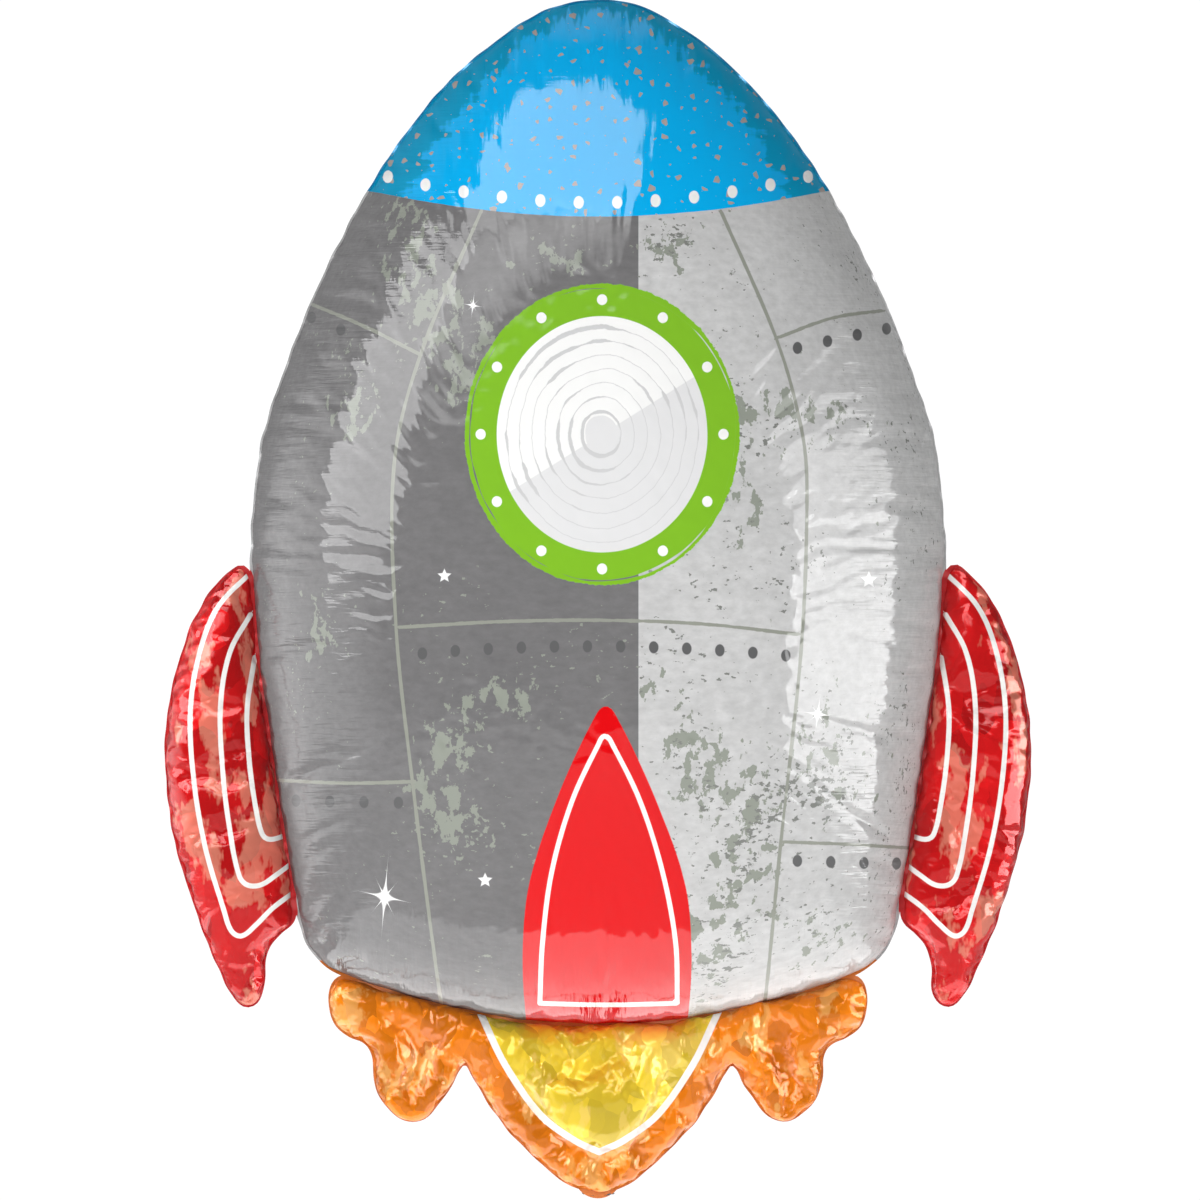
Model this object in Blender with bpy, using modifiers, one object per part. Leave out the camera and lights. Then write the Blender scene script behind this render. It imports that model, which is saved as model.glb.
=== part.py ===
"""A rocket-shaped foil balloon, inflated: two printed foil sheets, heat-sealed together.

The seal runs round the edge and along three inner lines, which pinch off four chambers: the body with
its nose, a fin on each side, and the flames below. Each chamber is a front shell and a back shell whose
rims meet the flat seal web. The inflation tail is folded up behind the flames, with its valve film in it.

Frame: the origin is at the foot of the seal web, under the middle flame. X runs to the right as seen
from the front, Y runs to the back, and Z runs up to the nose. Units are metres.
"""

import math

import bmesh
import bpy
import numpy as np
from mathutils import Vector
from mathutils.geometry import delaunay_2d_cdt, interpolate_bezier

# Foil and seal
WALL = 0.0015
WEB_THICK = 0.0010
RIM_GAP = 0.0003
SEAL_WIDTH = 0.003
RIM_SEAT = 0.002
RIM_Y = WEB_THICK / 2 + RIM_GAP

# How far each chamber swells from the web, and how full its shoulders are
BODY_DEPTH = 0.135
FIN_DEPTH = 0.025
FLAME_DEPTH = 0.035
FULLNESS = 1.2

# Spacing of the net of points on each chamber, and its rings next to the rim
BODY_SPACING = 0.026
FIN_SPACING = 0.012
FLAME_SPACING = 0.011
RIM_RINGS = (0.07, 0.30)

# Right half of the body's outline, nose to foot, as (x, z)
BODY_HALF = (
    (0.0000, 0.7340), (0.0220, 0.7310), (0.0430, 0.7215), (0.0750, 0.6980), (0.0995, 0.6735),
    (0.1270, 0.6370), (0.1490, 0.6005), (0.1730, 0.5515), (0.1920, 0.5025), (0.2035, 0.4660),
    (0.2095, 0.4175), (0.2105, 0.3850), (0.2065, 0.3300), (0.2005, 0.2880), (0.1905, 0.2210),
    (0.1840, 0.1860), (0.1800, 0.1680), (0.1720, 0.1520), (0.1580, 0.1412), (0.1370, 0.1330),
    (0.1050, 0.1235), (0.0690, 0.1155), (0.0390, 0.1110), (0.0000, 0.1095),
)

# Right fin: down its outer edge, round the tip, and up its side along the body
FIN_OUTLINE = (
    (0.2180, 0.3865), (0.2240, 0.3840), (0.2310, 0.3770), (0.2395, 0.3665), (0.2505, 0.3425),
    (0.2600, 0.3070), (0.2630, 0.2760), (0.2610, 0.2460), (0.2570, 0.2210), (0.2425, 0.1730),
    (0.2325, 0.1485), (0.2220, 0.1270), (0.2165, 0.1215), (0.2110, 0.1230), (0.2080, 0.1300),
    (0.2070, 0.1460), (0.2030, 0.1580), (0.1965, 0.1655), (0.1895, 0.1720), (0.1880, 0.1800),
    (0.1905, 0.2040), (0.1935, 0.2210), (0.2035, 0.2880), (0.2095, 0.3300), (0.2135, 0.3760),
)

# Right half of the flames: along the body's foot, round two small flames, and down the middle one
FLAME_HALF = (
    (0.0000, 0.1065), (0.0390, 0.1080), (0.0690, 0.1125), (0.1050, 0.1205), (0.1370, 0.1300),
    (0.1500, 0.1345), (0.1575, 0.1350), (0.1615, 0.1300), (0.1625, 0.1200), (0.1590, 0.1090),
    (0.1515, 0.1025), (0.1435, 0.0995), (0.1385, 0.0950), (0.1355, 0.0870), (0.1350, 0.0740),
    (0.1295, 0.0615), (0.1225, 0.0540), (0.1150, 0.0510), (0.1075, 0.0530), (0.1005, 0.0600),
    (0.0925, 0.0715), (0.0870, 0.0815), (0.0815, 0.0855), (0.0760, 0.0795), (0.0665, 0.0630),
    (0.0517, 0.0430), (0.0380, 0.0295), (0.0265, 0.0190), (0.0130, 0.0100), (0.0000, 0.0075),
)

# Blunt foot of the web, where the inflation tail springs from
FOOT_RADIUS = 0.016

# Inflation tail, folded up behind the flames: its middle line from the web, as (y, z)
TAIL_LINE = (
    (0.0000, 0.0050), (0.0080, 0.0050), (0.0170, 0.0065), (0.0260, 0.0130), (0.0340, 0.0240),
    (0.0395, 0.0380), (0.0415, 0.0520), (0.0415, 0.0620),
)
TAIL_TOP = 0.096
TAIL_WIDTH = 0.020
TAIL_THICK = 0.0024
POCKET_DEPTH = 0.020
POCKET_THICK = 0.0012
POCKET_MARGIN = 0.0020

# Valve film in the tail's mouth
FILM_OUT = 0.008
FILM_THICK = POCKET_THICK - 2 * RIM_GAP
FILM_WIDTH = TAIL_WIDTH - 2 * POCKET_MARGIN - 2 * RIM_GAP

SMOOTH_ANGLE = math.radians(40)
BEZIER_STEPS = 12

# name: (red, green, blue, roughness, metallic)
FINISHES = {
    "silver_foil": (0.42, 0.42, 0.43, 0.22, 0.85),
    "red_foil": (0.80, 0.02, 0.03, 0.20, 0.60),
    "orange_foil": (0.92, 0.24, 0.02, 0.20, 0.60),
    "sealed_foil": (0.50, 0.50, 0.51, 0.35, 0.80),
    "clear_film": (0.85, 0.87, 0.88, 0.25, 0.00),
}


def material(name):
    """The Principled material of one finish, made once."""
    found = bpy.data.materials.get(name)
    if found:
        return found
    red, green, blue, roughness, metallic = FINISHES[name]
    made = bpy.data.materials.new(name)
    made.use_nodes = True
    shader = made.node_tree.nodes["Principled BSDF"]
    shader.inputs["Base Color"].default_value = (red, green, blue, 1.0)
    shader.inputs["Roughness"].default_value = roughness
    shader.inputs["Metallic"].default_value = metallic
    return made


def mirrored(half):
    """A closed outline from its right half, which starts and ends on the middle plane."""
    return list(half) + [(-x, z) for x, z in reversed(half[1:-1])]


def flipped(outline):
    """The outline on the other side of the middle plane, still running the same way round."""
    return [(-x, z) for x, z in reversed(outline)]


def smooth_line(points, spacing, closed=True):
    """Points at even spacing along a smooth curve through the given ones."""
    knots = [Vector(p).to_3d() for p in points]
    count = len(knots)
    segments = count if closed else count - 1
    tangents = []
    for i in range(count):
        before = knots[i - 1] if closed or i > 0 else knots[i]
        after = knots[(i + 1) % count] if closed or i < count - 1 else knots[i]
        tangents.append((after - before).normalized())
    dense = []
    for i in range(segments):
        start, end = knots[i], knots[(i + 1) % count]
        reach = (end - start).length / 3
        handle_1 = start + tangents[i] * reach
        handle_2 = end - tangents[(i + 1) % count] * reach
        dense += interpolate_bezier(start, handle_1, handle_2, end, BEZIER_STEPS)[:-1]
    dense.append(knots[0] if closed else knots[-1])
    line = np.array([(p.x, p.y) for p in dense])
    along = np.concatenate([[0], np.cumsum(np.linalg.norm(np.diff(line, axis=0), axis=1))])
    steps = max(3, round(along[-1] / spacing))
    at = np.linspace(0, along[-1], steps + 1)
    even = np.stack([np.interp(at, along, line[:, k]) for k in range(2)], axis=1)
    return even[:-1] if closed else even


def distance_to(outline, points):
    """How far each point is from a closed outline."""
    start = outline
    step = np.roll(outline, -1, axis=0) - outline
    to_point = points[:, None, :] - start[None, :, :]
    share = np.clip((to_point * step).sum(2) / (step**2).sum(1), 0, 1)
    return np.linalg.norm(to_point - share[..., None] * step, axis=2).min(axis=1)


def inside(outline, points):
    """Which points lie inside a closed outline."""
    x, z = points[:, 0:1], points[:, 1:2]
    start, end = outline, np.roll(outline, -1, axis=0)
    spans = (start[:, 1] > z) != (end[:, 1] > z)
    rise = np.where(end[:, 1] == start[:, 1], 1.0, end[:, 1] - start[:, 1])
    crossing = start[:, 0] + (z - start[:, 1]) * (end[:, 0] - start[:, 0]) / rise
    return ((spans & (x < crossing)).sum(axis=1) % 2).astype(bool)


def offset_outline(outline, distance):
    """The outline moved outwards by a distance, or inwards by a negative one, with no crossed stretch."""
    along = np.roll(outline, -1, axis=0) - np.roll(outline, 1, axis=0)
    along /= np.linalg.norm(along, axis=1, keepdims=True)
    normal = np.stack([-along[:, 1], along[:, 0]], axis=1)
    moved = outline + normal * distance
    clear = distance_to(outline, moved) > abs(distance) * 0.97
    return moved[clear]


def foil_net(outline, spacing):
    """Flat net of triangles over an outline: (points, triangles, number of rim points)."""
    rings = [offset_outline(outline, -share * spacing) for share in RIM_RINGS]
    low, high = outline.min(axis=0), outline.max(axis=0)
    rows = np.arange(low[1], high[1], spacing * math.sqrt(3) / 2)
    lattice = []
    for row, z in enumerate(rows):
        first = (row % 2) * spacing / 2
        reach = math.ceil(max(-low[0], high[0]) / spacing) + 1
        lattice += [(k * spacing + first, z) for k in range(-reach, reach)]
    lattice = np.array(lattice)
    keep = inside(outline, lattice)
    lattice = lattice[keep]
    lattice = lattice[distance_to(outline, lattice) > (RIM_RINGS[-1] + 0.5) * spacing]
    points = np.concatenate([outline, *rings, lattice])
    rim = len(outline)
    flat = [Vector((float(x), float(z))) for x, z in points]
    made = delaunay_2d_cdt(flat, [], [list(range(rim))], 1, 1e-7)
    return np.array([(v.x, v.y) for v in made[0]]), [tuple(f) for f in made[2]], rim


def swell(points, triangles, rim, depth):
    """Height of each point when gas swells the sheet: a membrane's deflection, rounded to meet the rim upright."""
    count = len(points)
    stiffness = np.zeros((count, count))
    load = np.zeros(count)
    for triangle in triangles:
        corner = points[list(triangle)]
        edge_1, edge_2 = corner[1] - corner[0], corner[2] - corner[0]
        area = abs(edge_1[0] * edge_2[1] - edge_1[1] * edge_2[0]) / 2
        opposite = np.roll(corner, -1, axis=0) - np.roll(corner, 1, axis=0)
        local = opposite @ opposite.T / (4 * area)
        for i, a in enumerate(triangle):
            load[a] += area / 3
            for j, b in enumerate(triangle):
                stiffness[a, b] += local[i, j]
    free = np.arange(rim, count)
    lift = np.zeros(count)
    lift[free] = np.linalg.solve(stiffness[np.ix_(free, free)], load[free])
    share = np.clip(lift / lift.max(), 0, 1)
    return depth * np.sqrt(1 - (1 - share) ** FULLNESS)


def object_from(name, mesh, finish, collection):
    """A named object with a finish, in its collection, round surfaces shaded smooth."""
    mesh.name = name
    mesh.materials.clear()
    mesh.materials.append(material(finish))
    mesh.shade_smooth()
    mesh.set_sharp_from_angle(angle=SMOOTH_ANGLE)
    made = bpy.data.objects.new(name, mesh)
    collection.objects.link(made)
    return made


def evaluated_mesh(obj):
    """The object's mesh with its modifiers, after which the object is removed."""
    graph = bpy.context.evaluated_depsgraph_get()
    mesh = bpy.data.meshes.new_from_object(obj.evaluated_get(graph))
    bpy.data.objects.remove(obj)
    return mesh


def outward(mesh):
    """Turns every face of a closed mesh outwards."""
    work = bmesh.new()
    work.from_mesh(mesh)
    bmesh.ops.recalc_face_normals(work, faces=work.faces)
    work.to_mesh(mesh)
    work.free()


def shell(name, outline, spacing, depth, side, finish, collection):
    """One foil shell of a chamber. side is -1 for the front and 1 for the back."""
    points, triangles, rim = foil_net(outline, spacing)
    height = swell(points, triangles, rim, depth)
    corners = [(x, side * (RIM_Y + h), z) for (x, z), h in zip(points, height)]
    skin = bpy.data.meshes.new(name)
    skin.from_pydata(corners, [], triangles)
    work = bmesh.new()
    work.from_mesh(skin)
    bmesh.ops.recalc_face_normals(work, faces=work.faces)
    middle = max(work.faces, key=lambda face: side * face.calc_center_median().y)
    if middle.normal.y * side < 0:
        bmesh.ops.reverse_faces(work, faces=work.faces)
    work.to_mesh(skin)
    work.free()
    sheet = bpy.data.objects.new(name, skin)
    collection.objects.link(sheet)
    wall = sheet.modifiers.new("wall", "SOLIDIFY")
    wall.thickness = WALL
    wall.offset = -1
    wall.use_even_offset = True
    mesh = evaluated_mesh(sheet)
    for vertex in mesh.vertices:
        vertex.co.y = side * max(side * vertex.co.y, RIM_Y)
    outward(mesh)
    return object_from(name, mesh, finish, collection)


def seal_web(name, outlines, finish, collection):
    """The flat seal: a band round every chamber, and the inner seals where two bands meet."""
    turn = np.linspace(0, 2 * math.pi, 48, endpoint=False)
    foot = np.stack([FOOT_RADIUS * np.sin(turn), FOOT_RADIUS * (1 + np.cos(turn))], axis=1)
    bands = [offset_outline(o, SEAL_WIDTH) for o in outlines] + [foot]
    holes = [offset_outline(o, -RIM_SEAT) for o in outlines]
    points, faces = [], []
    for ring in bands + holes:
        faces.append(list(range(len(points), len(points) + len(ring))))
        points += [Vector((float(x), float(z))) for x, z in ring[::-1]]
    made = delaunay_2d_cdt(points, [], faces, 0, 1e-7)
    kept = [
        tuple(face)
        for face, sources in zip(made[2], made[5])
        if sources and max(sources) < len(bands)
    ]
    flat = bpy.data.meshes.new(name)
    flat.from_pydata([(v.x, 0.0, v.y) for v in made[0]], [], kept)
    work = bmesh.new()
    work.from_mesh(flat)
    loose = [v for v in work.verts if not v.link_faces]
    bmesh.ops.delete(work, geom=loose, context="VERTS")
    bmesh.ops.recalc_face_normals(work, faces=work.faces)
    bmesh.ops.dissolve_limit(
        work, angle_limit=math.radians(1), verts=work.verts, edges=work.edges, delimit={"NORMAL"}
    )
    bmesh.ops.triangulate(work, faces=work.faces)
    work.to_mesh(flat)
    work.free()
    plate = bpy.data.objects.new(name, flat)
    collection.objects.link(plate)
    thick = plate.modifiers.new("thick", "SOLIDIFY")
    thick.thickness = WEB_THICK
    thick.offset = 0
    mesh = evaluated_mesh(plate)
    outward(mesh)
    return object_from(name, mesh, finish, collection)


def box(name, low, high, collection):
    """A box between two corners, from the cube primitive."""
    mesh = bpy.data.meshes.new(name)
    work = bmesh.new()
    bmesh.ops.create_cube(work, size=1.0)
    for vertex in work.verts:
        vertex.co = [l + (c + 0.5) * (h - l) for c, l, h in zip(vertex.co, low, high)]
    work.to_mesh(mesh)
    work.free()
    made = bpy.data.objects.new(name, mesh)
    collection.objects.link(made)
    return made


def tail_profile():
    """Side outline of the folded tail, as (y, z): its middle line thickened, then its straight top."""
    line = smooth_line(TAIL_LINE, 0.006, closed=False)
    line = np.concatenate([line, [(line[-1][0], TAIL_TOP)]])
    line[0, 0] = RIM_Y
    along = np.gradient(line, axis=0)
    along /= np.linalg.norm(along, axis=1, keepdims=True)
    normal = np.stack([-along[:, 1], along[:, 0]], axis=1) * TAIL_THICK / 2
    return np.concatenate([line + normal, (line - normal)[::-1]])


def inflation_tail(name, finish, collection, cutters):
    """The foil tail, folded up behind the flames, with a flat pocket in its mouth for the valve film."""
    flat = bpy.data.curves.new(name, "CURVE")
    flat.dimensions = "2D"
    flat.fill_mode = "BOTH"
    flat.extrude = TAIL_WIDTH / 2
    profile = tail_profile()
    spline = flat.splines.new("POLY")
    spline.points.add(len(profile) - 1)
    for point, (y, z) in zip(spline.points, profile):
        point.co = (y, z, 0.0, 1.0)
    spline.use_cyclic_u = True
    drawn = bpy.data.objects.new(name, flat)
    drawn.rotation_euler = (math.pi / 2, 0.0, math.pi / 2)
    collection.objects.link(drawn)
    bpy.context.view_layer.update()
    place = drawn.matrix_world.copy()
    mesh = evaluated_mesh(drawn)
    mesh.transform(place)
    work = bmesh.new()
    work.from_mesh(mesh)
    bmesh.ops.remove_doubles(work, verts=work.verts, dist=1e-6)
    bmesh.ops.recalc_face_normals(work, faces=work.faces)
    work.to_mesh(mesh)
    work.free()
    tail = object_from(name, mesh, finish, collection)
    middle = TAIL_LINE[-1][0]
    reach = TAIL_WIDTH / 2 - POCKET_MARGIN
    pocket = box(
        "tail_pocket",
        (-reach, middle - POCKET_THICK / 2, TAIL_TOP - POCKET_DEPTH),
        (reach, middle + POCKET_THICK / 2, TAIL_TOP + 0.01),
        cutters,
    )
    pocket.hide_render = True
    pocket.display_type = "WIRE"
    cut = tail.modifiers.new("pocket", "BOOLEAN")
    cut.operation = "DIFFERENCE"
    cut.object = pocket
    return tail


def valve_film(name, finish, collection):
    """The flat valve film: it fills the tail's pocket and stands out of its mouth."""
    middle = TAIL_LINE[-1][0]
    film = box(
        name,
        (-FILM_WIDTH / 2, middle - FILM_THICK / 2, TAIL_TOP - POCKET_DEPTH + RIM_GAP),
        (FILM_WIDTH / 2, middle + FILM_THICK / 2, TAIL_TOP + FILM_OUT),
        collection,
    )
    film.data.materials.append(material(finish))
    return film


def clear_scene():
    """Removes every object of the startup scene."""
    for obj in list(bpy.data.objects):
        bpy.data.objects.remove(obj)


def new_collection(name):
    """A collection linked to the scene."""
    made = bpy.data.collections.new(name)
    bpy.context.scene.collection.children.link(made)
    return made


def main():
    """Builds every piece of the balloon."""
    clear_scene()
    parts = new_collection("rocket_foil_balloon")
    cutters = new_collection("cutters")
    body = smooth_line(mirrored(BODY_HALF), BODY_SPACING)
    fin_right = smooth_line(FIN_OUTLINE, FIN_SPACING)
    fin_left = np.array(flipped(fin_right))
    flame = smooth_line(mirrored(FLAME_HALF), FLAME_SPACING)
    chambers = (
        ("body", body, BODY_SPACING, BODY_DEPTH, "silver_foil"),
        ("fin_left", fin_left, FIN_SPACING, FIN_DEPTH, "red_foil"),
        ("fin_right", fin_right, FIN_SPACING, FIN_DEPTH, "red_foil"),
        ("flame", flame, FLAME_SPACING, FLAME_DEPTH, "orange_foil"),
    )
    for name, outline, spacing, depth, finish in chambers:
        shell(name + "_front", outline, spacing, depth, -1, finish, parts)
        shell(name + "_back", outline, spacing, depth, 1, finish, parts)
    outlines = [chamber[1] for chamber in chambers]
    seal_web("seal_web", outlines, "sealed_foil", parts)
    inflation_tail("inflation_tail", "silver_foil", parts, cutters)
    valve_film("valve_film", "clear_film", parts)


main()
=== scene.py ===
"""Looks of a rocket-shaped foil balloon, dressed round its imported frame.

The balloon is two printed, metallised films, heat-sealed together and swollen by gas. Each chamber's film is
laid out flat from its seam line, swollen to the frame's depth, given a little too much film, and let go
under pressure in a cloth simulation, which leaves the creases and puckers of real foil. The inks are
printed by distance: each vertex stores how far inside an ink's edge it lies, and the film's material
turns that into a crisp edge.

X runs to the right as seen from the front, Y to the back, and Z up. Units are metres.
"""

import logging
import math
from dataclasses import dataclass
from enum import Enum
from functools import partial
from typing import Callable, Optional, Sequence

import bpy
import numpy as np
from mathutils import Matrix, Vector
from mathutils.geometry import delaunay_2d_cdt, interpolate_bezier


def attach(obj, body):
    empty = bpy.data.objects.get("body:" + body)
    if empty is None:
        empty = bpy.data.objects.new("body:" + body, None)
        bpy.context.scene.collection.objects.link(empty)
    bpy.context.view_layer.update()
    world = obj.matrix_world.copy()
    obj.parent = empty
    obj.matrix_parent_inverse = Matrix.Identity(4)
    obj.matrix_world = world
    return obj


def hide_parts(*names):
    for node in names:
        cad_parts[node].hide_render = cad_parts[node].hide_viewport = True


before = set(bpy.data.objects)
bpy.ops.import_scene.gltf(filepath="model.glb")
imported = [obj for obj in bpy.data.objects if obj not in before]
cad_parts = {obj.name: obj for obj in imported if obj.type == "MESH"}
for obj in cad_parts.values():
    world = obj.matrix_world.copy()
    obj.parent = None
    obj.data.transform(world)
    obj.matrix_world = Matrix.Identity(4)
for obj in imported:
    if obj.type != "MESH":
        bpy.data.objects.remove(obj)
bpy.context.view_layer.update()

LOG = logging.getLogger("foil_balloon")

Piece = bpy.types.Object
Material = bpy.types.Material
Socket = bpy.types.NodeSocket
Points = np.ndarray
Faces = list[tuple[int, ...]]
Pair = tuple[float, float]
Line = tuple[Pair, ...]
Mark = tuple[float, float, float, float]
Shapes = dict[str, Callable[[Points], Points]]

# The photograph's frame: its side in pixels, the balloon's height there, and its middle line
PHOTO_SIDE = 1200
PHOTO_MIDDLE = 598.0
METRES_PER_PIXEL = 0.7366 / PHOTO_SIDE
MM = 1000.0

# Heat seal: its width, how far it reaches under a film's rim, and how far a film reaches out over it
SEAL_WIDTH = 0.003
SEAL_SEAT = 0.0012
SEAL_COVERED = 0.0018
FILM_GAP = 0.0002

# How finely curves are read, and how many points are measured at a time
BEZIER_STEPS = 12
LINE_STEP = 0.002
MEASURED_AT_ONCE = 4000
# A film follows the seal's ripple near its seam only; this power makes that fade
RIPPLE_FADE = 8


def smooth_line(points: Sequence[Sequence[float]], spacing: float, closed: bool = True) -> Points:
    """Runs a smooth curve through points and reads it off at even steps.

    Args:
        points: Points that the curve passes, as (x, z).
        spacing: Wanted distance between the points returned.
        closed: Whether the curve returns to its first point.

    Returns:
        The points, one row each.
    """
    knots = [Vector((float(x), float(z), 0.0)) for x, z in points]
    count = len(knots)
    last = count if closed else count - 1
    tangents = []
    for i in range(count):
        before = knots[i - 1] if closed or i > 0 else knots[i]
        after = knots[(i + 1) % count] if closed or i < count - 1 else knots[i]
        tangents.append((after - before).normalized())
    dense = []
    for i in range(last):
        start, end = knots[i], knots[(i + 1) % count]
        reach = (end - start).length / 3
        handle_in = start + tangents[i] * reach
        handle_out = end - tangents[(i + 1) % count] * reach
        dense += interpolate_bezier(start, handle_in, handle_out, end, BEZIER_STEPS)[:-1]
    dense.append(knots[0] if closed else knots[-1])
    line = np.array([(p.x, p.y) for p in dense])
    along = np.concatenate([[0], np.cumsum(np.linalg.norm(np.diff(line, axis=0), axis=1))])
    steps = max(3, round(along[-1] / spacing))
    wanted = np.linspace(0, along[-1], steps + 1)
    even = np.stack([np.interp(wanted, along, line[:, k]) for k in range(2)], axis=1)
    return even[:-1] if closed else even


def line_normals(line: Points) -> Points:
    """Outward unit normals of a closed line that runs clockwise as seen from the front.

    Args:
        line: Closed line, one row for each point.

    Returns:
        One normal for each point.
    """
    along = np.roll(line, -1, axis=0) - np.roll(line, 1, axis=0)
    along /= np.linalg.norm(along, axis=1, keepdims=True)
    return np.stack([-along[:, 1], along[:, 0]], axis=1)


def nearest_on(line: Points, points: Points, closed: bool = True) -> tuple[Points, Points, Points]:
    """Finds how far points are from a line, where along it each one's nearest place is, and on which side.

    Args:
        line: The line's points.
        points: The points to measure.
        closed: Whether the line returns to its first point.

    Returns:
        Distances and lengths along the line in metres, and 1 for points left of it or -1 for the others.
    """
    start = line if closed else line[:-1]
    step = (np.roll(line, -1, axis=0) - line) if closed else np.diff(line, axis=0)
    length = np.linalg.norm(step, axis=1)
    base = np.concatenate([[0], np.cumsum(length)[:-1]])
    distance = np.empty(len(points))
    along = np.empty(len(points))
    hand = np.empty(len(points))
    for first in range(0, len(points), MEASURED_AT_ONCE):
        rows_now = slice(first, first + MEASURED_AT_ONCE)
        part = points[rows_now]
        reach = part[:, None, :] - start[None, :, :]
        share = np.clip((reach * step).sum(2) / np.maximum(length**2, 1e-18), 0, 1)
        gap = np.linalg.norm(reach - share[..., None] * step, axis=2)
        best = gap.argmin(axis=1)
        rows = np.arange(len(part))
        distance[rows_now] = gap[rows, best]
        along[rows_now] = base[best] + share[rows, best] * length[best]
        turn = step[best, 0] * reach[rows, best, 1] - step[best, 1] * reach[rows, best, 0]
        hand[rows_now] = np.where(turn >= 0, 1.0, -1.0)
    return distance, along, hand


def inside(line: Points, points: Points) -> np.ndarray:
    """Tells which points lie inside a closed line.

    Args:
        line: Closed line, one row for each point.
        points: Points, one row each.

    Returns:
        True for each point that lies inside.
    """
    x, z = points[:, 0:1], points[:, 1:2]
    start, end = line, np.roll(line, -1, axis=0)
    spans = (start[:, 1] > z) != (end[:, 1] > z)
    rise = np.where(end[:, 1] == start[:, 1], 1.0, end[:, 1] - start[:, 1])
    crossing = start[:, 0] + (z - start[:, 1]) * (end[:, 0] - start[:, 0]) / rise
    return ((spans & (x < crossing)).sum(axis=1) % 2).astype(bool)


def signed_distance(line: Points, points: Points) -> Points:
    """Distance of points inside a closed line as positive numbers, and of those outside as negative."""
    distance = nearest_on(line, points)[0]
    return np.where(inside(line, points), distance, -distance)


@dataclass(frozen=True)
class Ripple:
    """A sum of a few plane waves: their turns per metre along x and z, and their phase."""

    height: float
    waves: tuple[tuple[float, float, float], ...]

    def at(self, x: Points, z: Points) -> Points:
        """The waves' height at each place."""
        total = sum(np.sin(math.tau * (a * x + b * z) + phase) for a, b, phase in self.waves)
        return self.height * total / math.sqrt(len(self.waves))


# How the heat seal waves out of its plane; both films and the seal read it, so that they always meet
RIPPLE = Ripple(0.0007, ((31.0, 12.0, 0.3), (-17.0, 38.0, 1.9), (52.0, -23.0, 4.1), (9.0, 71.0, 2.2)))
# How the seam line is drawn in and out by the puckers of a filled film
SCALLOPS = Ripple(0.0003, ((37.0, 21.0, 0.4), (-23.0, 44.0, 1.3), (11.0, -58.0, 3.0), (49.0, 33.0, 5.1)))


@dataclass(frozen=True)
class Outline:
    """A chamber's seam line, in the seal's plane."""

    points: Line
    halved: bool = False
    flipped: bool = False

    def line(self, spacing: float) -> Points:
        """Reads the whole seam line at even steps, clockwise as seen from the front.

        Args:
            spacing: Distance between points.

        Returns:
            The points, one row each.
        """
        whole = list(self.points)
        if self.halved:
            whole += [(-x, z) for x, z in reversed(self.points[1:-1])]
        if self.flipped:
            whole = [(-x, z) for x, z in reversed(whole)]
        line = smooth_line(whole, spacing)
        return line + line_normals(line) * SCALLOPS.at(line[:, 0], line[:, 1])[:, None]


def drawn_out(line: Points, neighbours: Sequence[Outline], shared: float) -> Points:
    """Moves a seam line out over its seal, where the swollen film hides it, but less towards a neighbour.

    Args:
        line: The seam line.
        neighbours: The chambers beside it.
        shared: How far it moves over a seal that it shares.

    Returns:
        The line from which the film rises.
    """
    gap = np.min([nearest_on(other.line(2 * LINE_STEP), line)[0] for other in neighbours], axis=0)
    room = np.clip((gap - 2 * SEAL_WIDTH) / (2 * SEAL_WIDTH), 0, 1)
    return line + line_normals(line) * (shared + (SEAL_COVERED - shared) * room)[:, None]


BODY = Outline(
    points=(
        (0.0, 0.734), (0.022, 0.731), (0.043, 0.7215), (0.075, 0.698), (0.0995, 0.6735),
        (0.127, 0.637), (0.149, 0.6005), (0.173, 0.5515), (0.192, 0.5025), (0.2035, 0.466),
        (0.2095, 0.4175), (0.2105, 0.385), (0.2065, 0.33), (0.2005, 0.288), (0.1905, 0.221),
        (0.184, 0.186), (0.18, 0.168), (0.172, 0.152), (0.158, 0.1412), (0.137, 0.133),
        (0.105, 0.1235), (0.069, 0.1155), (0.039, 0.111), (0.0, 0.1095),
    ),
    halved=True,
)
FIN_POINTS = (
    (0.218, 0.3865), (0.224, 0.384), (0.231, 0.377), (0.2395, 0.3665), (0.2505, 0.3425),
    (0.26, 0.307), (0.263, 0.276), (0.261, 0.246), (0.257, 0.221), (0.2425, 0.173),
    (0.2325, 0.1485), (0.222, 0.127), (0.2165, 0.1215), (0.211, 0.123), (0.208, 0.13),
    (0.207, 0.146), (0.203, 0.158), (0.1965, 0.1655), (0.1895, 0.172), (0.188, 0.18),
    (0.1905, 0.204), (0.1935, 0.221), (0.2035, 0.288), (0.2095, 0.33), (0.2135, 0.376),
)
FIN_RIGHT = Outline(points=FIN_POINTS)
FIN_LEFT = Outline(points=FIN_POINTS, flipped=True)
FLAME = Outline(
    points=(
        (0.0, 0.1065), (0.039, 0.108), (0.069, 0.1125), (0.105, 0.1205), (0.137, 0.13),
        (0.15, 0.1345), (0.1575, 0.135), (0.1615, 0.13), (0.1625, 0.12), (0.159, 0.109),
        (0.1515, 0.1025), (0.1435, 0.0995), (0.1385, 0.095), (0.1355, 0.087), (0.135, 0.074),
        (0.1295, 0.0615), (0.1225, 0.054), (0.115, 0.051), (0.1075, 0.053), (0.1005, 0.06),
        (0.0925, 0.0715), (0.087, 0.0815), (0.0815, 0.0855), (0.076, 0.0795), (0.0665, 0.063),
        (0.0517, 0.043), (0.038, 0.0295), (0.0265, 0.019), (0.013, 0.01), (0.0, 0.0075),
    ),
    halved=True,
)


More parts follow.
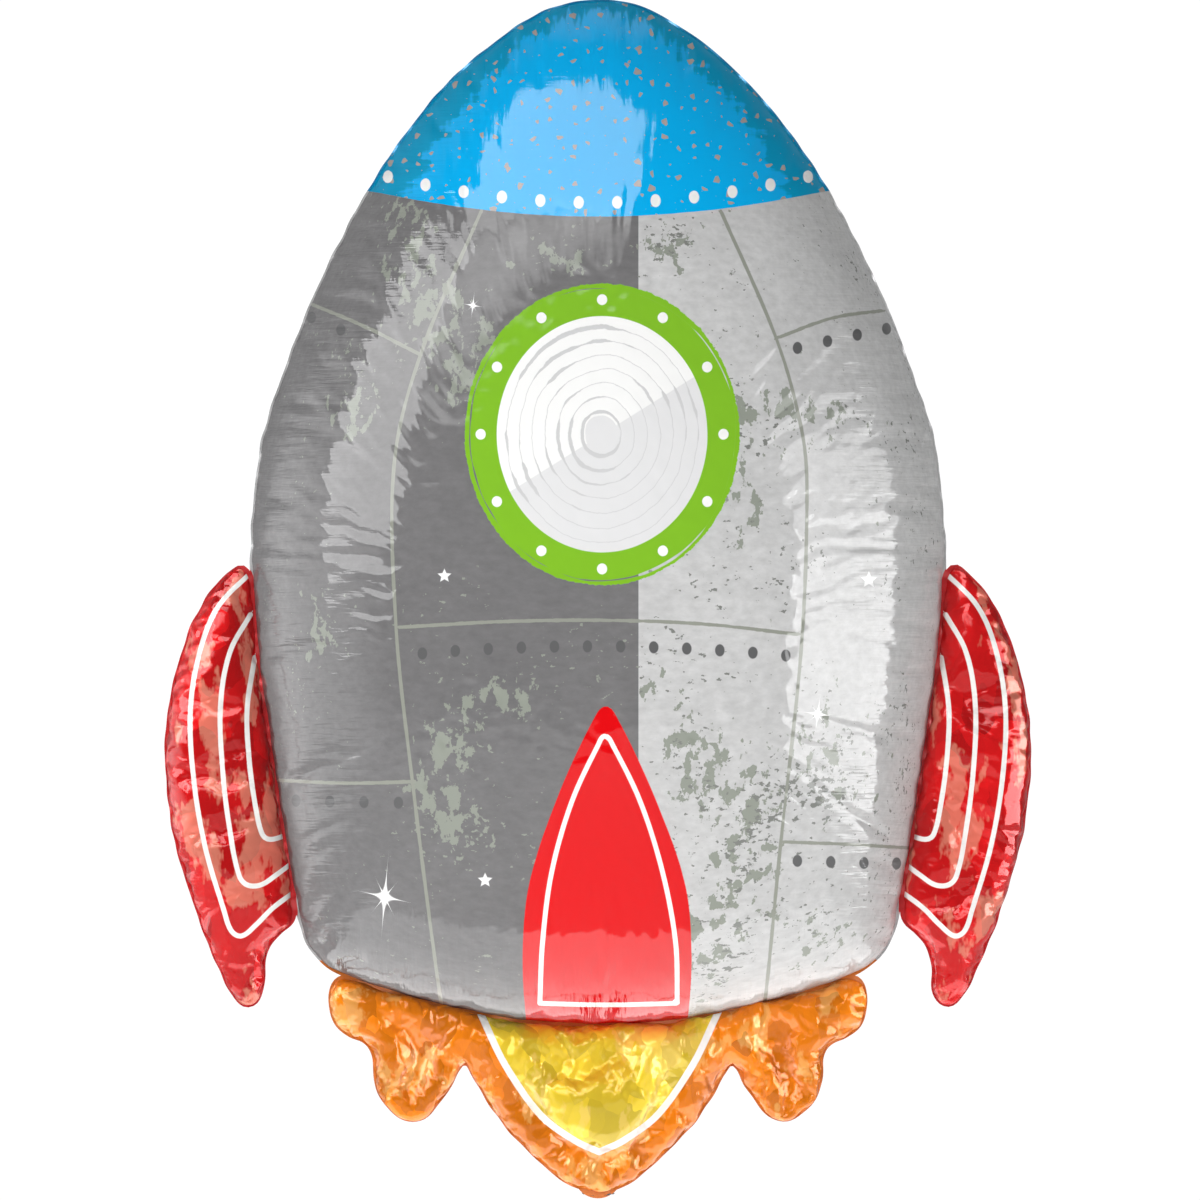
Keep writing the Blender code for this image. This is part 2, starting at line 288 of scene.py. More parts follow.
class Side(Enum):
    """Which of the two films a piece belongs to; the value is the sign of its Y."""

    FRONT = -1
    BACK = 1


@dataclass(frozen=True)
class Swelling:
    """How a chamber's film swells and creases.

    Attributes:
        depth: How far the film's highest place stands off the seal.
        start: The share of that depth from which the simulation starts.
        spare: How much more film there is than the swelling needs, as a share.
        pressure: The gas pressure in the simulation.
        steps: How many steps the simulation takes.
        cap: The furthest that any place may move in it.
        fullness: How steeply the film rises from its seam.
        bending: The film's stiffness against bending.
        roughness: How far the start is shaken, so that creases can begin.
    """

    depth: float
    start: float
    spare: float
    pressure: float
    steps: int
    cap: float
    fullness: float = 1.2
    bending: float = 0.03
    roughness: float = 0.0003


class FilmNet:
    """A net of vertices over a chamber: rings that follow the seam, then a square lattice inside them."""

    def __init__(self, seam: Points, spacing: float, rings: int, anchor: Points) -> None:
        """Lays the net out.

        Args:
            seam: The seam line.
            spacing: Distance between lattice points.
            rings: How many rings follow the seam.
            anchor: Where the innermost ring lies, one point for each point of the seam.
        """
        self.rim = len(seam)
        shares = (np.arange(rings + 1) / rings) ** 2
        lines = [seam + (anchor - seam) * share for share in shares]
        inner = lines[-1]
        lattice = self._lattice(inner, spacing)
        self.points = np.concatenate(lines + [lattice])
        self.faces = self._ring_faces(rings) + self._fill_faces(inner, lattice, rings * self.rim)

    @staticmethod
    def _lattice(inner: Points, spacing: float) -> Points:
        """Square lattice of points that keep clear of the innermost ring.

        Args:
            inner: Innermost ring.
            spacing: Distance between neighbours.

        Returns:
            The points that lie inside.
        """
        low, high = inner.min(axis=0), inner.max(axis=0)
        across = np.arange(math.floor(low[0] / spacing), math.ceil(high[0] / spacing) + 1) * spacing
        up = np.arange(low[1], high[1], spacing)
        grid = np.stack(np.meshgrid(across, up), axis=-1).reshape(-1, 2)
        grid = grid[inside(inner, grid)]
        gap = nearest_on(inner, grid)[0]
        return grid[gap > 0.6 * spacing]

    def _ring_faces(self, rings: int) -> Faces:
        """Quads between neighbouring rings.

        Args:
            rings: How many rings there are.

        Returns:
            Four vertex numbers for each quad.
        """
        faces = []
        for ring in range(rings):
            a, b = ring * self.rim, (ring + 1) * self.rim
            for i in range(self.rim):
                j = (i + 1) % self.rim
                faces.append((a + i, a + j, b + j, b + i))
        return faces

    @staticmethod
    def _fill_faces(inner: Points, lattice: Points, first: int) -> Faces:
        """Triangles inside the innermost ring, whose vertices start at index first.

        Args:
            inner: Innermost ring.
            lattice: Points inside it.
            first: Number of the ring's first vertex.

        Returns:
            Three vertex numbers for each triangle.
        """
        flat = [Vector((float(x), float(z))) for x, z in np.concatenate([inner, lattice])]
        ring = list(range(len(inner)))
        made = delaunay_2d_cdt(flat, [], [ring], 1, 1e-9)
        origin = [min(source) for source in made[3]]
        return [tuple(first + origin[v] for v in face) for face in made[2]]

    def triangles(self) -> np.ndarray:
        """The net's faces as triangles.

        Returns:
            Three vertex numbers for each triangle.
        """
        split = []
        for face in self.faces:
            split += [(face[0], face[k], face[k + 1]) for k in range(1, len(face) - 1)]
        return np.array(split)

    def lift(self) -> Points:
        """Solves how a stretched membrane over the net lifts under even pressure.

        Returns:
            Each vertex's lift, from 0 at the seam to 1 at the highest place.
        """
        tri = self.triangles()
        corner = self.points[tri]
        edge_a, edge_b = corner[:, 1] - corner[:, 0], corner[:, 2] - corner[:, 0]
        area = np.abs(edge_a[:, 0] * edge_b[:, 1] - edge_a[:, 1] * edge_b[:, 0]) / 2
        area = np.maximum(area, 1e-12)
        opposite = np.roll(corner, -1, axis=1) - np.roll(corner, 1, axis=1)
        count = len(self.points)
        rows, cols, weights = [], [], []
        diagonal = np.zeros(count)
        load = np.zeros(count)
        for i in range(3):
            load += np.bincount(tri[:, i], area / 3, count)
            diagonal += np.bincount(tri[:, i], (opposite[:, i] ** 2).sum(1) / (4 * area), count)
            for j in range(3):
                if i != j:
                    rows.append(tri[:, i])
                    cols.append(tri[:, j])
                    weights.append((opposite[:, i] * opposite[:, j]).sum(1) / (4 * area))
        rows, cols, weights = (np.concatenate(part) for part in (rows, cols, weights))
        free = np.ones(count)
        free[: self.rim] = 0

        def stretch(values: Points) -> Points:
            """The stiffness matrix times a vector, with the seam held."""
            moved = diagonal * values + np.bincount(rows, weights * values[cols], count)
            return moved * free

        lift = np.zeros(count)
        residual = load * free
        scaled = residual / diagonal
        heading = scaled.copy()
        energy = (residual * scaled).sum()
        target = energy * 1e-10
        for _ in range(3000):
            pushed = stretch(heading)
            step = energy / (heading * pushed).sum()
            lift += step * heading
            residual -= step * pushed
            scaled = residual / diagonal
            fresh = (residual * scaled).sum()
            if fresh < target:
                break
            heading = scaled + heading * fresh / energy
            energy = fresh
        return np.clip(lift / lift.max(), 0, 1)


def deselect_all() -> None:
    bpy.ops.object.select_all(action="DESELECT")


def make_active(piece: Piece) -> None:
    """Selects one piece alone and makes it the active one.

    Args:
        piece: Piece to select.
    """
    deselect_all()
    piece.select_set(True)
    bpy.context.view_layer.objects.active = piece


def edit_all(*steps: Callable[[], object]) -> None:
    """Runs edit-mode steps on the whole of the active piece.

    Args:
        *steps: The operators to run, in order.
    """
    bpy.ops.object.mode_set(mode="EDIT")
    bpy.ops.mesh.select_all(action="SELECT")
    for step in steps:
        step()
    bpy.ops.object.mode_set(mode="OBJECT")


def point_out() -> None:
    """Points the faces that are being edited outwards."""
    bpy.ops.mesh.normals_make_consistent(inside=False)


def give_wall(piece: Piece, thickness: float, offset: float, smooth_angle: float) -> None:
    """Gives a sheet its real thickness.

    Args:
        piece: The sheet.
        thickness: Its thickness.
        offset: Where the wall lies, from -1 inside the faces to 1 outside them.
        smooth_angle: Edges sharper than this are drawn sharp.
    """
    wall = piece.modifiers.new("wall", "SOLIDIFY")
    wall.thickness = thickness
    wall.offset = offset
    bpy.ops.object.modifier_apply(modifier=wall.name)
    bpy.ops.object.shade_smooth_by_angle(angle=smooth_angle)


def new_piece(name: str, points: Points, faces: Faces) -> Piece:
    """Makes a mesh object at the origin.

    Args:
        name: The piece's name.
        points: Its vertices, as (x, y, z).
        faces: Its faces.

    Returns:
        The object, linked to the scene, selected and active.
    """
    mesh = bpy.data.meshes.new(name)
    mesh.from_pydata([tuple(map(float, p)) for p in points], [], faces)
    mesh.validate()
    piece = bpy.data.objects.new(name, mesh)
    bpy.context.scene.collection.objects.link(piece)
    make_active(piece)
    return piece


def vertices_of(piece: Piece) -> Points:
    """A piece's vertices, one row each.

    Args:
        piece: Piece to read.

    Returns:
        Its vertices in metres.
    """
    flat = np.empty(len(piece.data.vertices) * 3)
    piece.data.vertices.foreach_get("co", flat)
    return flat.reshape(-1, 3)


def move_vertices(piece: Piece, points: Points) -> None:
    """Gives a piece's vertices new places."""
    piece.data.vertices.foreach_set("co", points.ravel())
    piece.data.update()


@dataclass
class FoilChamber:
    """One gas-filled chamber: a front film and a back film that share a seam."""

    name: str
    outline: Outline
    swelling: Swelling
    spacing: float
    rings: int
    reach: float
    centre: Optional[Pair] = None
    seed: int = 1
    neighbours: tuple[Outline, ...] = ()
    shared: float = 0.0
    twin_films: bool = True

    def seam(self, spacing: float) -> Points:
        """The line from which both films rise, at even steps."""
        return drawn_out(self.outline.line(spacing), self.neighbours, self.shared)

    def net(self) -> FilmNet:
        """The flat net of vertices that both films start from.

        Returns:
            The net, with its rings and its fill.
        """
        seam = self.seam(self.spacing)
        if self.centre is None:
            anchor = self._inset(seam)
        else:
            anchor = seam + (np.array(self.centre) - seam) * self.reach
        return FilmNet(seam, self.spacing, self.rings, anchor)

    def _inset(self, seam: Points) -> Points:
        """The seam moved inwards by the reach, in small steps that keep it smooth.

        Args:
            seam: Seam line of a chamber.

        Returns:
            The line on which the rings end.
        """
        steps, beside = 8, 0.2
        ring = seam.copy()
        for _ in range(steps):
            ring = ring - line_normals(ring) * self.reach / steps
            both = np.roll(ring, 1, axis=0) + np.roll(ring, -1, axis=0)
            ring = (1 - 2 * beside) * ring + beside * both
        return ring

    def films(self) -> dict[Side, Piece]:
        """Builds the front and the back film.

        Returns:
            Both films, by their side.
        """
        front = self.film(Side.FRONT)
        back = self._twin(front) if self.twin_films else self.film(Side.BACK)
        return {Side.FRONT: front, Side.BACK: back}

    def _twin(self, front: Piece) -> Piece:
        """The back film of a small chamber, creased as its front is, as their seam puckers both alike.

        Args:
            front: Finished front film.

        Returns:
            The back film.
        """
        net = self.net()
        points = vertices_of(front)
        wave = RIPPLE.at(net.points[:, 0], net.points[:, 1]) * (1 - net.lift()) ** RIPPLE_FADE
        points[:, 1] = 2 * wave - points[:, 1]
        faces = [tuple(face.vertices)[::-1] for face in front.data.polygons]
        back = new_piece(f"{self.name}_{Side.BACK.name.lower()}", points, faces)
        bpy.ops.object.shade_smooth()
        return back

    def film(self, side: Side) -> Piece:
        """Builds one film, swollen and creased.

        Args:
            side: The front or the back.

        Returns:
            The film as a mesh object of quads and triangles, its faces pointing out.
        """
        net = self.net()
        lift = net.lift()
        full = self.swelling.depth * np.sqrt(1 - (1 - lift) ** self.swelling.fullness)
        x, z = net.points[:, 0], net.points[:, 1]
        wave = RIPPLE.at(x, z) * (1 - lift) ** RIPPLE_FADE
        depth = side.value * (full * self.swelling.start + FILM_GAP) + wave
        faces = net.faces if side is Side.BACK else [face[::-1] for face in net.faces]
        name = f"{self.name}_{side.name.lower()}"
        piece = new_piece(name, np.stack([x, depth, z], axis=1), faces)
        self._face_out(piece, side)
        self._crease(piece, side, net.rim)
        return piece

    def _face_out(self, piece: Piece, side: Side) -> None:
        """Makes quads of the fill and points every face out of the chamber.

        Args:
            piece: Film to change.
            side: Side that it is on.
        """
        slant = math.radians(50)
        to_quads = partial(bpy.ops.mesh.tris_convert_to_quads, face_threshold=slant, shape_threshold=slant)
        edit_all(to_quads, point_out)
        middle = max(piece.data.polygons, key=lambda face: abs(face.center.y))
        if middle.normal.y * side.value < 0:
            edit_all(bpy.ops.mesh.flip_normals)
        bpy.ops.object.shade_smooth()

    def _crease(self, piece: Piece, side: Side, rim: int) -> None:
        """Lets the film go under pressure, with its seam held and a little more film than it needs.

        Args:
            piece: The film.
            side: The front or the back.
            rim: How many of its first vertices are on the seam.
        """
        still = vertices_of(piece)
        shaken = still.copy()
        random = np.random.default_rng(self.seed + side.value)
        shaken[rim:, 1] += random.normal(0, self.swelling.roughness, len(still) - rim)
        move_vertices(piece, shaken)
        held = piece.vertex_groups.new(name="seam")
        held.add(list(range(rim)), 1.0, "REPLACE")
        cloth = piece.modifiers.new("Cloth", "CLOTH")
        film = cloth.settings
        film.quality = 5
        film.mass = 0.1
        film.tension_stiffness = 40
        film.compression_stiffness = 40
        film.shear_stiffness = 20
        film.bending_stiffness = self.swelling.bending
        film.air_damping = 2
        film.vertex_group_mass = held.name
        film.use_pressure = True
        film.uniform_pressure_force = self.swelling.pressure
        film.shrink_min = film.shrink_max = -self.swelling.spare
        film.effector_weights.gravity = 0
        cloth.collision_settings.use_collision = False
        cloth.point_cache.frame_start, cloth.point_cache.frame_end = 1, self.swelling.steps
        for step in range(1, self.swelling.steps + 1):
            bpy.context.scene.frame_set(step)
        make_active(piece)
        bpy.ops.object.modifier_apply(modifier=cloth.name)
        bpy.context.scene.frame_set(1)
        moved = vertices_of(piece) - still
        reach = np.linalg.norm(moved, axis=1, keepdims=True)
        capped = still + moved * np.minimum(1, self.swelling.cap / np.maximum(reach, 1e-9))
        move_vertices(piece, capped)


def ellipse_inside(points: Points, centre: Pair, radii: Pair) -> Points:
    """How far points lie inside an ellipse, measured towards its centre.

    Args:
        points: Points, one row each.
        centre: Its middle.
        radii: Half its width and height.

    Returns:
        A distance for each point, negative outside.
    """
    away = points - np.array(centre)
    share = np.linalg.norm(away / np.array(radii), axis=1)
    return (1 - share) * np.linalg.norm(away, axis=1) / np.maximum(share, 1e-6)


def beside_lines(points: Points, lines: Sequence[Points]) -> Points:
    """Where points lie beside printed lines.

    The signed distance runs straight through a line, so a coarse net still draws it crisp; the plain
    distance tells the line from places where the nearest line changes.

    Args:
        points: The points to measure.
        lines: The middle of each printed line.

    Returns:
        Signed distance, plain distance and zero, one row for each point.
    """
    near = np.full(len(points), np.inf)
    side = np.zeros(len(points))
    for line in lines:
        gap, _, hand = nearest_on(line, points, closed=False)
        side = np.where(gap < near, hand * gap, side)
        near = np.minimum(near, gap)
    return np.stack([side, near, np.zeros(len(points))], axis=1)


def beside_marks(points: Points, marks: Sequence[Mark], size: float) -> Points:
    """Where points lie beside the nearest of many small printed marks.

    Args:
        points: The points to measure.
        marks: Each mark's centre and its two radii.
        size: The radius to which every mark is scaled, so that one rule draws them all.

    Returns:
        Scaled offset across, plain scaled distance, and scaled offset upwards.
    """
    centres = np.array([mark[:2] for mark in marks])
    radii = np.array([mark[2:] for mark in marks])
    offset = (points[:, None, :] - centres[None]) / radii[None] * size
    distance = np.linalg.norm(offset, axis=2)
    best = distance.argmin(axis=1)
    rows = np.arange(len(points))
    nearest = offset[rows, best]
    return np.stack([nearest[:, 0], distance[rows, best], nearest[:, 1]], axis=1)


@dataclass(frozen=True)
class BodyPrint:
    """The inked design of the body: nose, porthole, panels, rivets and centre fin, in the seam's plane."""

    mark_size: float = 0.0033
    star_size: float = 0.01
    line_width: float = 0.0021
    fin_line_width: float = 0.0029
    nose_foot: float = 0.6016
    nose_bow: float = 0.89
    nose_dot_foot: float = 0.6101
    nose_dot_pitch: float = 0.0234
    nose_dot_bow: float = 1.06
    nose_dots: int = 12
    nose_dot_radii: Pair = (0.0031, 0.0039)
    porthole: Pair = (0.0025, 0.469)
    ring_radii: Pair = (0.0835, 0.0918)
    glass_radii: Pair = (0.064, 0.0718)
    ring_dots: int = 12
    ring_dot_radii: Pair = (0.0031, 0.0033)
    rivet_radii: Pair = (0.0029, 0.0037)
    upright_lines: tuple[Line, ...] = (
        ((-0.0706, 0.6065), (-0.108, 0.5175), (-0.124, 0.4512), (-0.1228, 0.3517), (-0.1129, 0.2578),
         (-0.0982, 0.1375), (-0.096, 0.12)),
        ((0.0749, 0.6052), (0.1093, 0.5254), (0.124, 0.4714), (0.1271, 0.437), (0.124, 0.3437),
         (0.1105, 0.2124), (0.1031, 0.1301), (0.102, 0.118)),
    )
    level_lines: tuple[Line, ...] = (
        ((-0.1209, 0.3517), (-0.058, 0.3552), (0.0012, 0.356), (0.06, 0.354), (0.1222, 0.3474)),
        ((-0.1749, 0.5494), (-0.14, 0.534), (-0.108, 0.5175)),
        ((0.1093, 0.5279), (0.1424, 0.5402), (0.1743, 0.5457)),
        ((-0.1952, 0.2578), (-0.1522, 0.2566), (-0.1129, 0.2578)),
        ((0.1129, 0.221), (0.1547, 0.2191), (0.1927, 0.2161)),
    )
    rivet_rows: tuple[tuple[Pair, Pair, int], ...] = (
        ((-0.1068, 0.3358), (0.1142, 0.3345), 12),
        ((-0.1756, 0.5414), (-0.1571, 0.5334), 2),
        ((0.1215, 0.5218), (0.1768, 0.5345), 4),
        ((-0.1848, 0.2455), (-0.1215, 0.2449), 4),
        ((0.1215, 0.2093), (0.1829, 0.2069), 4),
    )
    long_row: int = 12
    row_bow: float = 0.005
    centre_fin: Line = (
        (-0.0436, 0.102), (-0.046, 0.1504), (-0.0417, 0.1964), (-0.0233, 0.2517), (-0.001, 0.299),
        (0.0049, 0.3038), (0.0105, 0.299), (0.0331, 0.2517), (0.0528, 0.1964), (0.0571, 0.1504),
        (0.0546, 0.102),
    )
    fin_line: tuple[Line, ...] = (
        ((0.0485, 0.1215), (0.0473, 0.1596), (0.0393, 0.2026), (0.0258, 0.2455), (0.009, 0.28),
         (0.0043, 0.2858), (0.0, 0.28), (-0.016, 0.2455), (-0.0282, 0.2026), (-0.0338, 0.1596),
         (-0.0356, 0.1215)),
        ((-0.0356, 0.1215), (0.0065, 0.1206), (0.0485, 0.1215)),
    )
    stars: tuple[Mark, ...] = (
        (-0.0933, 0.383, 0.0043, 0.0043), (0.1651, 0.3806, 0.0052, 0.0052),
        (-0.0687, 0.1977, 0.0045, 0.0045),
    )
    sparkles: tuple[Mark, ...] = (
        (-0.0761, 0.5475, 0.01, 0.012), (0.1338, 0.2989, 0.017, 0.018),
        (-0.1301, 0.1872, 0.021, 0.033),
    )
    worn_places: tuple[Mark, ...] = (
        (-0.118, 0.59, 0.022, 0.03), (-0.101, 0.542, 0.03, 0.034), (-0.15, 0.49, 0.022, 0.03),
        (-0.072, 0.505, 0.022, 0.034), (-0.023, 0.578, 0.034, 0.018), (0.043, 0.585, 0.024, 0.026),
        (0.087, 0.488, 0.03, 0.022), (0.14, 0.478, 0.034, 0.018), (0.09, 0.43, 0.024, 0.034),
        (-0.052, 0.308, 0.026, 0.022), (-0.09, 0.286, 0.026, 0.03), (-0.101, 0.248, 0.022, 0.018),
        (-0.079, 0.226, 0.024, 0.02), (0.056, 0.283, 0.02, 0.03), (0.08, 0.254, 0.028, 0.034),
        (0.144, 0.27, 0.034, 0.034), (0.086, 0.205, 0.03, 0.034), (0.064, 0.156, 0.026, 0.034),
        (0.136, 0.164, 0.03, 0.024), (-0.17, 0.35, 0.014, 0.034), (0.034, 0.318, 0.014, 0.016),
    )

    def shapes(self) -> Shapes:
        """Names each inked shape and gives its measure.

        Returns:
            A measure for each attribute's name.
        """
        upright, level = (
            [smooth_line(knots, 1.5 * LINE_STEP, closed=False) for knots in lines]
            for lines in (self.upright_lines, self.level_lines)
        )
        fin = smooth_line(self.centre_fin, LINE_STEP, closed=False)
        sides = [smooth_line(knots, LINE_STEP, closed=False)[:-1] for knots in self.fin_line]
        outline = np.concatenate([*sides, sides[0][:1]])
        return {
            "nose": lambda p: p[:, 1] - self.nose_foot - self.nose_bow * p[:, 0] ** 2,
            "ring": lambda p: ellipse_inside(p, self.porthole, self.ring_radii),
            "glass": lambda p: ellipse_inside(p, self.porthole, self.glass_radii),
            "white_dots": lambda p: beside_marks(p, self._white_dots(), self.mark_size),
            "upright_lines": lambda p: beside_lines(p, upright),
            "level_lines": lambda p: beside_lines(p, level),
            "rivets": lambda p: beside_marks(p, self._rivets(), self.mark_size),
            "centre_fin": lambda p: signed_distance(fin, p),
            "fin_line": lambda p: beside_lines(p, [outline]),
            "stars": lambda p: beside_marks(p, self.stars, self.star_size),
            "sparkles": lambda p: beside_marks(p, self.sparkles, self.star_size),
            "worn": self._worn,
        }

    def _white_dots(self) -> list[Mark]:
        """Dots along the nose's foot and round the porthole's ring.

        Returns:
            Middle and radii of each dot.
        """
        places = (np.arange(self.nose_dots) - (self.nose_dots - 1) / 2) * self.nose_dot_pitch
        dots = [(x, self.nose_dot_foot + self.nose_dot_bow * x * x, *self.nose_dot_radii) for x in places]
        middle = [(a + b) / 2 for a, b in zip(self.ring_radii, self.glass_radii)]
        for turn in np.arange(self.ring_dots) * math.tau / self.ring_dots:
            x = self.porthole[0] + middle[0] * math.sin(turn)
            dots.append((x, self.porthole[1] + middle[1] * math.cos(turn), *self.ring_dot_radii))
        return dots

    def _rivets(self) -> list[Mark]:
        """Rows of dark rivets under the panel lines; the long row bows upwards.

        Returns:
            Middle and radii of each rivet.
        """
        rivets = []
        for start, end, count in self.rivet_rows:
            for share in np.linspace(0, 1, count):
                bow = self.row_bow * 4 * share * (1 - share) if count == self.long_row else 0.0
                x = start[0] + (end[0] - start[0]) * share
                rivets.append((x, start[1] + (end[1] - start[1]) * share + bow, *self.rivet_radii))
        return rivets

    def _worn(self, points: Points) -> Points:
        """How worn the print looks: soft hills that are 1 mm high in the attribute's units.

        Args:
            points: Points, one row each.

        Returns:
            A height for each point.
        """
        total = np.zeros(len(points))
        for x, z, across, up in self.worn_places:
            total += np.exp(-(((points[:, 0] - x) / across) ** 2 + ((points[:, 1] - z) / up) ** 2))
        return np.minimum(total, 1.0) / MM


@dataclass(frozen=True)
class FinPrint:
    """Three white stripes inside one another on a side fin, drawn for the left fin."""

    stripes: tuple[Line, ...] = (
        ((-0.2133, 0.385), (-0.2327, 0.3646), (-0.2433, 0.3399), (-0.2496, 0.3046), (-0.2486, 0.2659),
         (-0.2415, 0.2201), (-0.2292, 0.1778), (-0.2247, 0.1654), (-0.2186, 0.1623), (-0.2098, 0.169),
         (-0.1993, 0.1795), (-0.1851, 0.1901)),
        ((-0.2133, 0.3593), (-0.2256, 0.3364), (-0.2313, 0.3046), (-0.2302, 0.2659), (-0.2256, 0.2271),
         (-0.2197, 0.1989), (-0.2146, 0.1935), (-0.2063, 0.1938), (-0.1975, 0.1996), (-0.188, 0.2066)),
        ((-0.2106, 0.3331), (-0.2151, 0.3011), (-0.2137, 0.2694), (-0.2098, 0.2412), (-0.2056, 0.2243),
         (-0.201, 0.2215), (-0.191, 0.224)),
    )
    flipped: bool = False

    def shapes(self) -> Shapes:
        """Names the stripes and gives their measure.

        Returns:
            A measure for each attribute's name.
        """
        side = -1.0 if self.flipped else 1.0
        drawn = [[(side * x, z) for x, z in knots] for knots in self.stripes]
        lines = [smooth_line(knots, LINE_STEP, closed=False) for knots in drawn]
        return {"stripes": lambda p: beside_lines(p, lines)}


@dataclass(frozen=True)
class FlamePrint:
    """The yellow heart of the middle flame, with its white line."""

    line: Line = (
        (-0.076, 0.123), (-0.0706, 0.1115), (-0.0565, 0.0827), (-0.0354, 0.0527), (-0.0142, 0.0368),
        (0.0006, 0.0298), (0.0154, 0.0368), (0.0366, 0.0527), (0.0577, 0.0827), (0.0718, 0.1115),
        (0.0772, 0.123),
    )

    def shapes(self) -> Shapes:
        """Names each inked shape and gives its measure.

        Returns:
            A measure for each attribute's name.
        """
        tip = len(self.line) // 2
        left = smooth_line(self.line[:tip + 1], LINE_STEP, closed=False)
        right = smooth_line(self.line[tip:], LINE_STEP, closed=False)
        curve = np.concatenate([left, right[1:]])
        return {
            "heart": lambda p: signed_distance(curve, p),
            "heart_line": lambda p: beside_lines(p, [curve]),
        }


def print_shapes(piece: Piece, shapes: Shapes) -> None:
    """Stores on each vertex how it lies to each inked shape, in millimetres.

    Args:
        piece: The film to print.
        shapes: Each shape's name and its measure; a measure of three columns is stored as a vector.
    """
    places = vertices_of(piece)[:, [0, 2]]
    for name, measure in shapes.items():
        values = (measure(places) * MM).astype(np.float32)
        kind, field = ("FLOAT", "value") if values.ndim == 1 else ("FLOAT_VECTOR", "vector")
        piece.data.attributes.new(name, kind, "POINT").data.foreach_set(field, values.ravel())


def pucker_shapes(chamber: FoilChamber) -> Shapes:
    """Measures for the fine puckers that run in from a chamber's seam.

    Args:
        chamber: Chamber whose seam is followed.

    Returns:
        The measure, by its attribute's name.
    """
    seam = chamber.seam(2 * LINE_STEP)
    normals = line_normals(seam)
    lengths = np.linalg.norm(np.roll(seam, -1, axis=0) - seam, axis=1)
    base = np.concatenate([[0], np.cumsum(lengths)[:-1]])

    def measure(points: Points) -> Points:
        """How level and how upright the nearest seam's puckers run, and the distance from it.

        Args:
            points: Points, one row each.

        Returns:
            Three numbers for each point.
        """
        distance, along, _ = nearest_on(seam, points)
        spot = np.clip(np.searchsorted(base, along, side="right") - 1, 0, len(seam) - 1)
        heading = np.abs(normals[spot]) ** 2
        return np.stack([heading[:, 0] / MM, heading[:, 1] / MM, distance], axis=1)

    return {"pucker": measure}


def linear(hex_colour: str) -> tuple[float, float, float, float]:
    """Turns an sRGB hex value into a linear colour with full alpha.

    Args:
        hex_colour: Six hex digits after a hash mark.

    Returns:
        Red, green, blue and alpha.
    """
    channels = [int(hex_colour[i:i + 2], 16) / 255 for i in (1, 3, 5)]
    r, g, b = (c / 12.92 if c <= 0.04045 else ((c + 0.055) / 1.055) ** 2.4 for c in channels)
    return (r, g, b, 1.0)


MIX_FACTOR, MIX_A, MIX_B, MIX_RESULT = 0, 6, 7, 2

# A noise of scale 1 has blotches about this many millimetres across
NOISE_BLOTCH_MM = 500.0


class Nodes:
    """A node tree under construction."""

    def __init__(self, tree: bpy.types.NodeTree) -> None:
        """Takes the tree that the nodes go in."""
        self.tree = tree

    def add(self, kind: str, *inputs: object, output: object = 0, **settings: object) -> Socket:
        """Adds a node with its settings and links.

        Args:
            kind: The node's type, without the words that every shader node's type starts with.
            *inputs: Values or sockets for its inputs, in their order, or one dict of them by name or number.
            output: Which of its outputs is wanted, by name or number.
            **settings: The node's own properties.

        Returns:
            That output, from which node.outputs leads to the others.
        """
        node = self.tree.nodes.new(f"ShaderNode{kind}")
        for name, value in settings.items():
            setattr(node, name, value)
        named = inputs[0] if inputs and isinstance(inputs[0], dict) else dict(enumerate(inputs))
        for key, value in named.items():
            if isinstance(value, Socket):
                self.tree.links.new(value, node.inputs[key])
            else:
                node.inputs[key].default_value = value
        return node.outputs[output]


